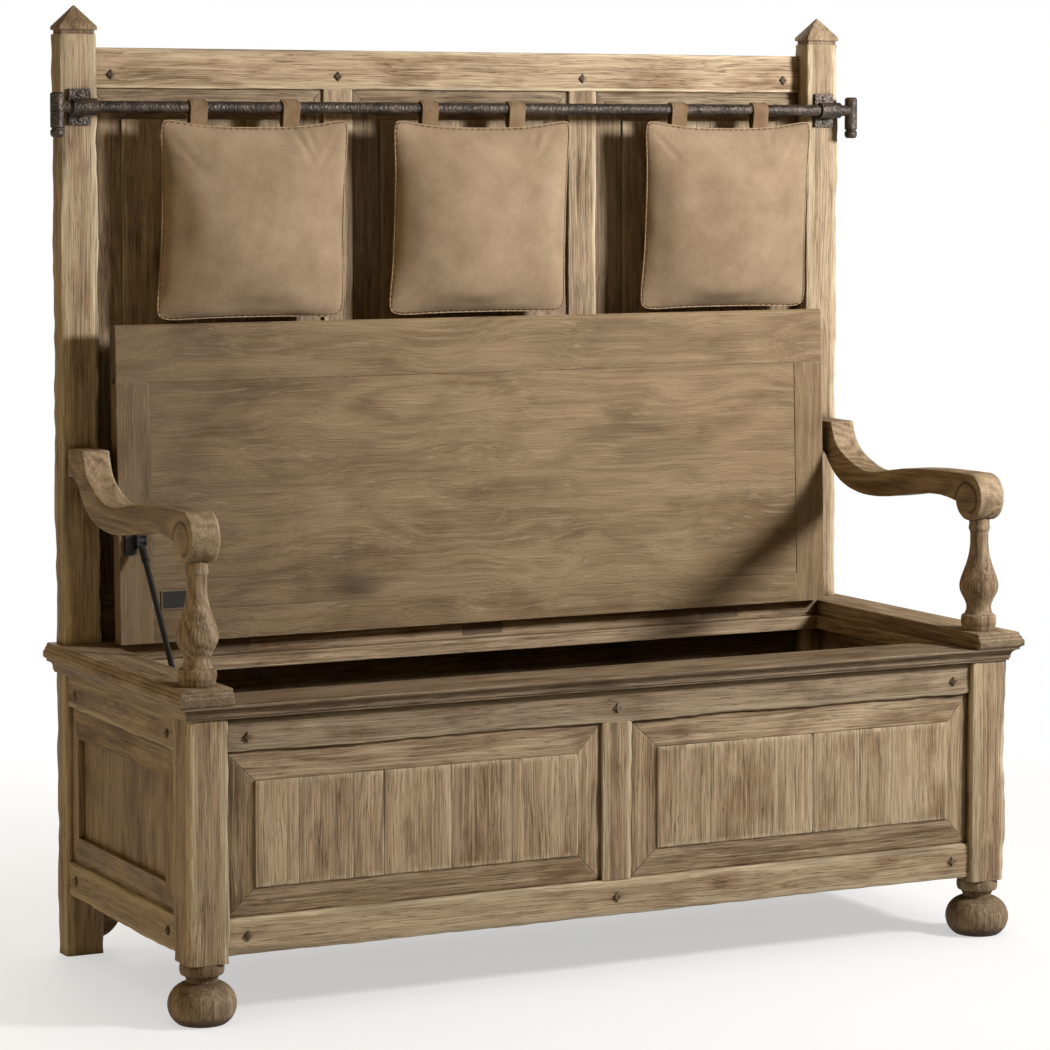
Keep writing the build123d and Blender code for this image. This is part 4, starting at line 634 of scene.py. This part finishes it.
# iron rod with hammer marks
rodLook = {"sides": 32, "step": 4 * mm, "dent": 0.75 * mm, "dentScale": 95.0, "dentGain": 1.5, "grit": 0.25 * mm,
           "gritScale": 330.0}
low, high = span("hanging_rod")
radius = (high.z - low.z) / 2
bm = bmesh.new()
bmesh.ops.create_cone(bm, cap_ends=True, segments=rodLook["sides"], radius1=radius, radius2=radius,
                      depth=high.x - low.x)
lines = [e for e in bm.edges if abs(e.verts[0].co.z - e.verts[1].co.z) > tiny]
bmesh.ops.subdivide_edges(bm, edges=lines, cuts=int((high.x - low.x) / rodLook["step"]), use_grid_fill=True)
for v in bm.verts:
    flat = Vector((v.co.x, v.co.y, 0))
    dents = rodLook["dentGain"] * noise.voronoi(v.co * rodLook["dentScale"])[0][0]
    grit = 0.5 + 0.5 * noise.noise(v.co * rodLook["gritScale"])
    v.co -= flat.normalized() * (rodLook["dent"] * (1.0 - min(1.0, dents)) + rodLook["grit"] * grit)
rodAxis = (low + high) / 2
turnedTo(bm, math.pi / 2, "Y", rodAxis)
keep("hammered_rod", bm, forgedIron, "rod", ["hanging_rod"], 50)
print("rod done")

# cushions: two suede panels sewn round the rim and filled, so the corners stand out and the sides draw in
cushionLook = {"cells": 58, "round": 12, "gap": 1 * mm, "bulge": 16 * mm, "drawnIn": 5 * mm, "uneven": 0.6 * mm,
               "frames": 40, "swell": 96 * mm, "ease": 24, "thick": 93 * mm, "lean": math.radians(2), "slip": 0.018,
               "sag": 24 * mm, "least": 0.85, "dome": 0.26, "settle": 14, "fit": 0.997,
               "bows": {"bottom": -6 * mm, "top": -20 * mm, "left": -11 * mm, "right": -8 * mm},
               "creaseFrom": -4 * mm, "creaseWide": 5 * mm, "ridgeAt": 11 * mm, "ridge": 0.35}
clothLook = {"quality": 6, "mass": 0.25, "air_damping": 4.0, "tension_stiffness": 30.0, "compression_stiffness": 4.0,
             "shear_stiffness": 6.0, "bending_stiffness": 8.0, "use_pressure": True, "uniform_pressure_force": 3.5}
rimLook = {"welt": 1.3 * mm, "step": 8 * mm, "stitch": (0.9 * mm, 0.9 * mm, 5.5 * mm, 1), "inward": 1.6 * mm,
           "forward": 2.4 * mm, "lay": (0.55, 0.75, 0.3)}
# folds on each front, from one place to another across the half width and height, with their depth in mm
creases = {
    "left": [(0.42, 0.9, 0.6, 0.6, 3.5), (0.55, 0.92, 0.63, 0.66, 2.5), (0.88, 0.84, 0.55, 0.5, 2.0),
             (-0.9, 0.86, -0.6, 0.55, 1.6)],
    "centre": [(0.82, 0.9, 0.52, 0.6, 2.6), (0.62, 0.93, 0.52, 0.7, 2.0), (-0.9, -0.86, -0.62, -0.6, 1.8)],
    "right": [(0.86, 0.88, 0.6, 0.58, 2.4), (0.5, 0.93, 0.46, 0.7, 1.8), (-0.88, 0.88, -0.6, 0.6, 2.0)],
}


# the seam is laid on the outline of the real cushion, and both panels follow it
def layOutline(bm, outer, wide, tall, spot):
    steps, n, bows = cushionLook["cells"] + 1, cushionLook["round"], cushionLook["bows"]
    moved = {}
    for v in outer:
        u, w = v[spot].x, v[spot].z
        trim = (abs(u) ** n + abs(w) ** n) ** (-1 / n)
        x = u * trim * wide / 2 + u * bows["left" if u < 0 else "right"] * (1 - abs(w) ** 3)
        z = w * trim * tall / 2 + w * bows["bottom" if w < 0 else "top"] * (1 - abs(u) ** 3)
        moved[round((u + 1) * steps / 2), round((w + 1) * steps / 2)] = Vector((x, 0, z)) - v.co
    for v in bm.verts:
        i, j = round((v[spot].x + 1) * steps / 2), round((v[spot].z + 1) * steps / 2)
        r, s = i / steps, j / steps
        v.co += (moved[i, 0] * (1 - s) + moved[i, steps] * s + moved[0, j] * (1 - r) + moved[steps, j] * r
                 - moved[0, 0] * (1 - r) * (1 - s) - moved[steps, 0] * r * (1 - s)
                 - moved[0, steps] * (1 - r) * s - moved[steps, steps] * r * s)


def sewnCushion(side, seed):
    node = f"cushion_{side}"
    low, high = span(node)
    wide, tall = high.x - low.x, high.z - low.z
    bm = bmesh.new()
    rim, spot = bm.verts.layers.float.new("rim"), bm.verts.layers.float_vector.new("spot")
    block(bm, (wide, 2 * cushionLook["gap"], tall))
    for way in (0, 2):
        lines = [e for e in bm.edges if abs((e.verts[0].co - e.verts[1].co)[way]) > tiny]
        bmesh.ops.subdivide_edges(bm, edges=lines, cuts=cushionLook["cells"], use_grid_fill=True)
    for v in bm.verts:
        u, w = 2 * v.co.x / wide, 2 * v.co.z / tall
        v[spot] = (u, 0, w)
        crown = max(0.0, (1 - u * u) * (1 - w * w)) ** 0.5
        if max(abs(u), abs(w)) > 0.9999:
            v[rim] = 1.0
            v.co.y = 0.0
        else:
            swell = cushionLook["bulge"]
            v.co.y = math.copysign(cushionLook["gap"] + swell * crown, v.co.y)
        v.co.x -= math.copysign(cushionLook["drawnIn"] * abs(u) * (1 - w * w), u)
        v.co.z -= math.copysign(cushionLook["drawnIn"] * abs(w) * (1 - u * u), w)
        n = cushionLook["round"]  # corners cut round
        trim = max(abs(u), abs(w), tiny) / max(tiny, (abs(u) ** n + abs(w) ** n) ** (1 / n))
        v.co.x, v.co.z = v.co.x * trim, v.co.z * trim
        v.co.y += cushionLook["uneven"] * noise.noise(Vector((u * 3, w * 3, seed))) * crown
    bmesh.ops.remove_doubles(bm, verts=bm.verts, dist=tiny)
    bmesh.ops.recalc_face_normals(bm, faces=bm.faces)
    mesh = meshOf("cushion_blank", bm)
    mesh = filled(mesh)
    bm = bmesh.new()
    bm.from_mesh(mesh)
    seam, spot = bm.verts.layers.float.get("rim"), bm.verts.layers.float_vector.get("spot")
    inner, outer = [v for v in bm.verts if v[seam] < 0.5], [v for v in bm.verts if v[seam] >= 0.5]
    beside = [[e.other_vert(v) for e in v.link_edges if e.other_vert(v)[seam] >= 0.5] for v in outer]
    for i in range(cushionLook["ease"]):
        relax(bm, inner, 1)
        eased = [v.co / 2 + sum((n.co for n in near), Vector()) / (2 * len(near)) for v, near in zip(outer, beside)]
        for v, place in zip(outer, eased):
            v.co = place
    layOutline(bm, outer, wide, tall, spot)
    half = max(abs(v.co.y) for v in inner)
    for v in inner:  # no hollow is deeper than a full cushion allows
        crown = max(0.0, (1 - v[spot].x ** 2) * (1 - v[spot].z ** 2)) ** 0.5
        full = max(abs(v.co.y), cushionLook["least"] * half * crown)
        v.co.y = math.copysign(full * (1 - cushionLook["dome"] * (1 - crown * crown)), v.co.y)
    relax(bm, inner, cushionLook["settle"])
    for v in bm.verts:
        v.co.x += cushionLook["slip"] * v.co.z
    points = [v.co.copy() for v in bm.verts]
    lowest = Vector(min(p[a] for p in points) for a in range(3))
    highest = Vector(max(p[a] for p in points) for a in range(3))
    middle, size = (lowest + highest) / 2, highest - lowest
    for v in bm.verts:
        v.co -= middle
        u, w = 2 * v.co.x / size.x, 2 * v.co.z / size.z
        v.co.z -= cushionLook["sag"] * (2 * v.co.y / size.y) ** 2  # the filling sinks
        if v.co.y < cushionLook["creaseFrom"]:
            for u0, w0, u1, w1, deep in creases[side]:
                run = Vector((u1 - u0, w1 - w0))
                t = min(1.0, max(0.0, (Vector((u - u0, w - w0)).dot(run)) / run.length_squared))
                off = (Vector((u - u0, w - w0)) - run * t).length * wide / 2
                fold = math.exp(-(off / cushionLook["creaseWide"]) ** 2)
                ridge = math.exp(-((off - cushionLook["ridgeAt"]) / cushionLook["creaseWide"]) ** 2)
                v.co.y += deep * mm * math.sin(math.pi * (0.12 + 0.8 * t)) * (fold - cushionLook["ridge"] * ridge)
    fit = Vector((wide / size.x, cushionLook["thick"] / size.y, tall / size.z))
    bmesh.ops.scale(bm, vec=fit * cushionLook["fit"], verts=bm.verts)
    middle = (low + high) / 2
    turnedTo(bm, cushionLook["lean"], "X", middle)
    ring = sorted((v.co.copy() for v in bm.verts if v[seam] > 0.9),
                  key=lambda p: math.atan2(p.z - middle.z, p.x - middle.x))
    piece = keep(f"suede_cushion_{side}", bm, cushionSuede, f"cushion_{side}_body", [node], 180)
    smooth = piece.modifiers.new("smooth", "SUBSURF")
    smooth.levels = smooth.render_levels = 1
    sewRim(side, ring, middle)


# the stuffing pushes the flat cover out until it is as thick as the real one
def filled(mesh):
    cover = placed("cover", mesh)
    cloth = cover.modifiers.new("fill", "CLOTH")
    for key, value in clothLook.items():
        setattr(cloth.settings, key, value)
    cloth.settings.effector_weights.gravity = 0.0
    cloth.point_cache.frame_start, cloth.point_cache.frame_end = 1, cushionLook["frames"]
    scene = bpy.context.scene
    for f in range(1, cushionLook["frames"] + 1):
        scene.frame_set(f)
        shown = cover.evaluated_get(bpy.context.evaluated_depsgraph_get())
        ys = [v.co.y for v in shown.data.vertices]
        if max(ys) - min(ys) > cushionLook["swell"]:
            break
    print("cushion filled in", f, "steps to", round((max(ys) - min(ys)) * 1000), "mm")
    made = settled(cover)
    scene.frame_set(1)
    return made


# a thin welt along the rim and whip stitches over it
def sewRim(side, ring, middle):
    line = bpy.data.curves.new("welt", "CURVE")
    line.dimensions, line.bevel_depth, line.bevel_resolution = "3D", rimLook["welt"], 2
    spline = line.splines.new("POLY")
    spline.points.add(len(ring) - 1)
    spline.use_cyclic_u = True
    for point, place in zip(spline.points, ring):
        point.co = (*place, 1.0)
    bm = bmesh.new()
    bm.from_mesh(settled(placed("welt", line)))
    keep(f"welt_{side}", bm, weltSuede, f"cushion_{side}_body", (), 60)
    bm = bmesh.new()
    walked = 0.0
    for here, after in zip(ring, ring[1:] + ring[:1]):
        walked += (after - here).length
        if walked < rimLook["step"]:
            continue
        walked = 0.0
        inward = Vector((middle.x - here.x, 0, middle.z - here.z))
        along = (after - here).normalized()
        inward = (inward - along * inward.dot(along)).normalized()
        front = Vector((0, -1, 0))
        lay = sum((d * share for d, share in zip((inward, front, along), rimLook["lay"])), Vector()).normalized()
        turn = lay.to_track_quat("Z", "Y").to_matrix().to_4x4()
        place = Matrix.Translation(here + inward * rimLook["inward"] + front * rimLook["forward"])
        bmesh.ops.create_cube(bm, size=1.0, matrix=place @ turn @ Matrix.Diagonal(rimLook["stitch"]))
    keep(f"stitches_{side}", bm, threadMaterial, f"cushion_{side}_body", (), 30)


# straps: a strip of suede over the rod, both ends sewn in at the cushion's top
strapLook = {"width": 30 * mm, "thick": 2.6 * mm, "outer": 13.4 * mm, "foot": 1386 * mm, "offset": -15 * mm,
             "apart": 84.5 * mm, "steps": 16, "frontFoot": -7 * mm, "frontTuck": (-10 * mm, 1404 * mm),
             "frontDrop": 5 * mm, "rearDrop": 6 * mm, "rearTuck": (6 * mm, 1402 * mm), "rearFoot": 1 * mm,
             "stitch": (0.9 * mm, 2.1 * mm, 0.8 * mm, 1), "stitchIn": 3.5 * mm, "stitches": 10, "firstStitch": 170,
             "stitchTurn": 12}


# the free edge of a strip, drawn along places given as y from the rod's axis and z
def drawnOut(bm, edge, path):
    for y, z in path:
        grown = bmesh.ops.extrude_edge_only(bm, edges=[edge])["geom"]
        for v in (g for g in grown if isinstance(g, bmesh.types.BMVert)):
            v.co.y, v.co.z = rodAxis.y + y, z
        edge = next(g for g in grown if isinstance(g, bmesh.types.BMEdge))
    return edge


def strapPair(side):
    low, high = span(f"cushion_{side}")
    middle = (low.x + high.x) / 2 + strapLook["offset"]
    half, outer = strapLook["width"] / 2, strapLook["outer"]
    bm = bmesh.new()
    for way in (-1, 1):
        x = middle + way * strapLook["apart"]
        ends = [bm.verts.new((x + s * half, rodAxis.y + strapLook["frontFoot"], strapLook["foot"])) for s in (-1, 1)]
        edge = drawnOut(bm, bm.edges.new(ends), (
            strapLook["frontTuck"], (-outer, rodAxis.z - strapLook["frontDrop"]), (-outer, rodAxis.z)))
        swept = bmesh.ops.spin(bm, geom=[edge, *edge.verts], cent=(0, rodAxis.y, rodAxis.z), axis=(-1, 0, 0),
                               angle=math.pi, steps=strapLook["steps"], use_duplicate=False)["geom_last"]
        drawnOut(bm, next(g for g in swept if isinstance(g, bmesh.types.BMEdge)), (
            (outer, rodAxis.z - strapLook["rearDrop"]), strapLook["rearTuck"],
            (strapLook["rearFoot"], strapLook["foot"])))
    bmesh.ops.recalc_face_normals(bm, faces=bm.faces)
    bm.normal_update()
    tops = [f for f in bm.faces if f.calc_center_median().z > rodAxis.z + 8 * mm]
    if tops[0].normal.z < 0:
        bmesh.ops.reverse_faces(bm, faces=bm.faces)
    bmesh.ops.solidify(bm, geom=bm.faces[:], thickness=strapLook["thick"])
    bmesh.ops.recalc_face_normals(bm, faces=bm.faces)
    bm.normal_update()
    for f in bm.faces:
        f.material_index = 1 if abs(f.normal.x) > 0.7 else 0
    piece = keep(f"suede_straps_{side}", bm, strapSuede, f"cushion_{side}_body", [f"loops_{side}"], 40)
    piece.data.materials.append(weltSuede)
    bm = bmesh.new()
    for way in (-1, 1):
        for edgeSide in (-1, 1):
            x = middle + way * strapLook["apart"] + edgeSide * (half - strapLook["stitchIn"])
            for i in range(strapLook["stitches"]):
                turn = math.radians(strapLook["firstStitch"] - strapLook["stitchTurn"] * i)
                y, z = math.cos(turn) * outer, math.sin(turn) * outer
                place = Matrix.Translation((x, rodAxis.y + y, rodAxis.z + z))
                place = place @ Matrix.Rotation(turn + math.pi / 2, 4, "X")
                bmesh.ops.create_cube(bm, size=1.0, matrix=place @ Matrix.Diagonal(strapLook["stitch"]))
    keep(f"strap_stitches_{side}", bm, threadMaterial, f"cushion_{side}_body", (), 30)


for side, seed in (("left", 3.0), ("centre", 8.0), ("right", 13.0)):
    sewnCushion(side, seed)
    strapPair(side)
print("cushions and straps done")

# a small plate on the lid's underside, left bare
plateLook = {"low": (-612 * mm, 590 * mm), "high": (-552 * mm, 622 * mm), "thick": 1 * mm, "border": 1.6 * mm,
             "lidFoot": (191.6 * mm, 533.6 * mm), "lean": math.radians(-2), "corner": 2 * mm, "sunk": 0.4 * mm}
plateBlack = steel("black_printed_foil", "#262320", 0.4, 0.55, 0.2)
plateEdge = steel("pale_foil_border", "#8F7F68", 0.35, 0.5, 0.6)
bm = bmesh.new()
(x0, z0), (x1, z1) = plateLook["low"], plateLook["high"]
block(bm, (x1 - x0, plateLook["thick"], z1 - z0))
corners = [e for e in bm.edges if abs(e.verts[0].co.y - e.verts[1].co.y) > tiny]
bmesh.ops.bevel(bm, geom=corners, offset=plateLook["corner"], offset_type="OFFSET", affect="EDGES", segments=3,
                profile=0.5, material=-1)
face = next(f for f in bm.faces if f.normal.y < -0.9)
bmesh.ops.inset_region(bm, faces=[face], thickness=plateLook["border"], depth=0.0)
for f in bm.faces:
    f.material_index = 0 if f is face else 1
zMid = (z0 + z1) / 2
yLid = plateLook["lidFoot"][0] + (zMid - plateLook["lidFoot"][1]) * math.tan(-plateLook["lean"])
turnedTo(bm, plateLook["lean"], "X", ((x0 + x1) / 2, yLid - plateLook["sunk"], zMid))
plate = keep("bare_plate", bm, plateBlack, "lid", (), 30)
plate.data.materials.append(plateEdge)
print("plate done")

# stage: white floor that keeps the shadow, with painted shadow round the bench, white surround, a close soft key on the
# right, warm bounce on the left, fill from behind
stageLook = {"floorSize": 40.0, "floorTone": (0.45, 0.45, 0.45, 1), "floorLift": 0.7, "floorReach": 0.9,
             "contact": (0.2, 1.0), "contactDim": 0.76, "fade": (1.0, 2.4), "fill": 0.16,
             "fillTone": (1, 0.77, 0.42, 1)}
lampLook = {
    "key_softbox": {"at": (2.2, -2.0, 2.0), "aim": (0.0, 0.0, 1.4), "power": 50.0, "size": 0.55, "spread": 110,
                    "tone": (1, 1, 1)},
    "left_bounce": {"at": (-3.2, -0.9, 0.7), "aim": (-0.75, -0.1, 0.5), "power": 5.5, "size": 1.6, "spread": 120,
                    "tone": (1, 0.76, 0.42)},
    "rear_fill": {"at": (0.6, 3.6, 2.2), "aim": (0.0, 0.3, 0.8), "power": 30.0, "size": 1.6, "spread": 120,
                  "tone": (1, 0.96, 0.88)},
}
bm = bmesh.new()
bmesh.ops.create_grid(bm, x_segments=1, y_segments=1, size=stageLook["floorSize"] / 2)
floor = placed("studio_floor", meshOf("studio_floor", bm))
paper = bpy.data.materials.new("white_paper_floor")
paper.use_nodes = True
tree = paper.node_tree
tree.nodes.clear()
rays = add(tree, "LightPath").outputs
seen = add(tree, "Math", {"operation": "MAXIMUM"}, (rays["Is Camera Ray"], rays["Is Glossy Ray"]))
matt = add(tree, "BsdfDiffuse", inputs={"Color": stageLook["floorTone"]})
# painted shadow: ambient occlusion dims the floor's glow near the bench
dim = add(tree, "AmbientOcclusion", {"samples": 8}, {"Distance": stageLook["floorReach"]}).outputs["AO"]
lifts = (stageLook["contactDim"] * stageLook["floorLift"], stageLook["floorLift"])
dim = add(tree, "MapRange", inputs=(dim, *stageLook["contact"], *lifts))
lift = add(tree, "Emission", inputs={"Strength": dim})
near = add(tree, "AddShader", inputs=(matt, lift))
far = add(tree, "Emission", inputs={"Strength": 1.0})
away = add(tree, "VectorMath", {"operation": "LENGTH"}, {0: add(tree, "TexCoord").outputs["Object"]}).outputs["Value"]
fade = add(tree, "MapRange", {"interpolation_type": "SMOOTHSTEP"}, (away, *stageLook["fade"], 0.0, 1.0))
shown = add(tree, "MixShader", inputs=(fade, near, far))
both = add(tree, "MixShader", inputs=(seen, matt, shown))
add(tree, "OutputMaterial", inputs={"Surface": both})
floor.data.materials.append(paper)

world = bpy.data.worlds.new("studio")
bpy.context.scene.world = world
world.use_nodes = True
tree = world.node_tree
tree.nodes.clear()
rays = add(tree, "LightPath").outputs
seen = add(tree, "Math", {"operation": "MAXIMUM"}, (rays["Is Camera Ray"], rays["Is Transmission Ray"]))
white = add(tree, "Background", inputs={"Color": (1, 1, 1, 1), "Strength": 1.0})
fill = add(tree, "Background", inputs={"Color": stageLook["fillTone"], "Strength": stageLook["fill"]})
both = add(tree, "MixShader", inputs=(seen, fill, white))
add(tree, "OutputWorld", inputs={"Surface": both})

for name, look in lampLook.items():
    data = bpy.data.lights.new(name, "AREA")
    data.color = look["tone"]
    data.energy, data.size, data.spread = look["power"], look["size"], math.radians(look["spread"])
    made = placed(name, data)
    made.visible_camera = False
    made.location = look["at"]
    made.rotation_euler = (Vector(look["aim"]) - Vector(look["at"])).to_track_quat("-Z", "Y").to_euler()

# camera solved from the photograph
viewLook = {"at": (-2784.4, -5472.1, 1366.9), "yaw": 26.741, "pitch": 3.838, "sensor": 36.0, "lens": 124.26,
            "shiftY": -0.13}
data = bpy.data.cameras.new("photo_camera")
data.sensor_fit, data.sensor_width = "HORIZONTAL", viewLook["sensor"]
data.lens, data.shift_y = viewLook["lens"], viewLook["shiftY"]
camera = placed("photo_camera", data)
camera.location = Vector(viewLook["at"]) * mm
camera.rotation_euler = (math.radians(90 - viewLook["pitch"]), 0, math.radians(-viewLook["yaw"]))
bpy.context.scene.camera = camera
bpy.context.scene.view_settings.view_transform = "Standard"
print("stage done")
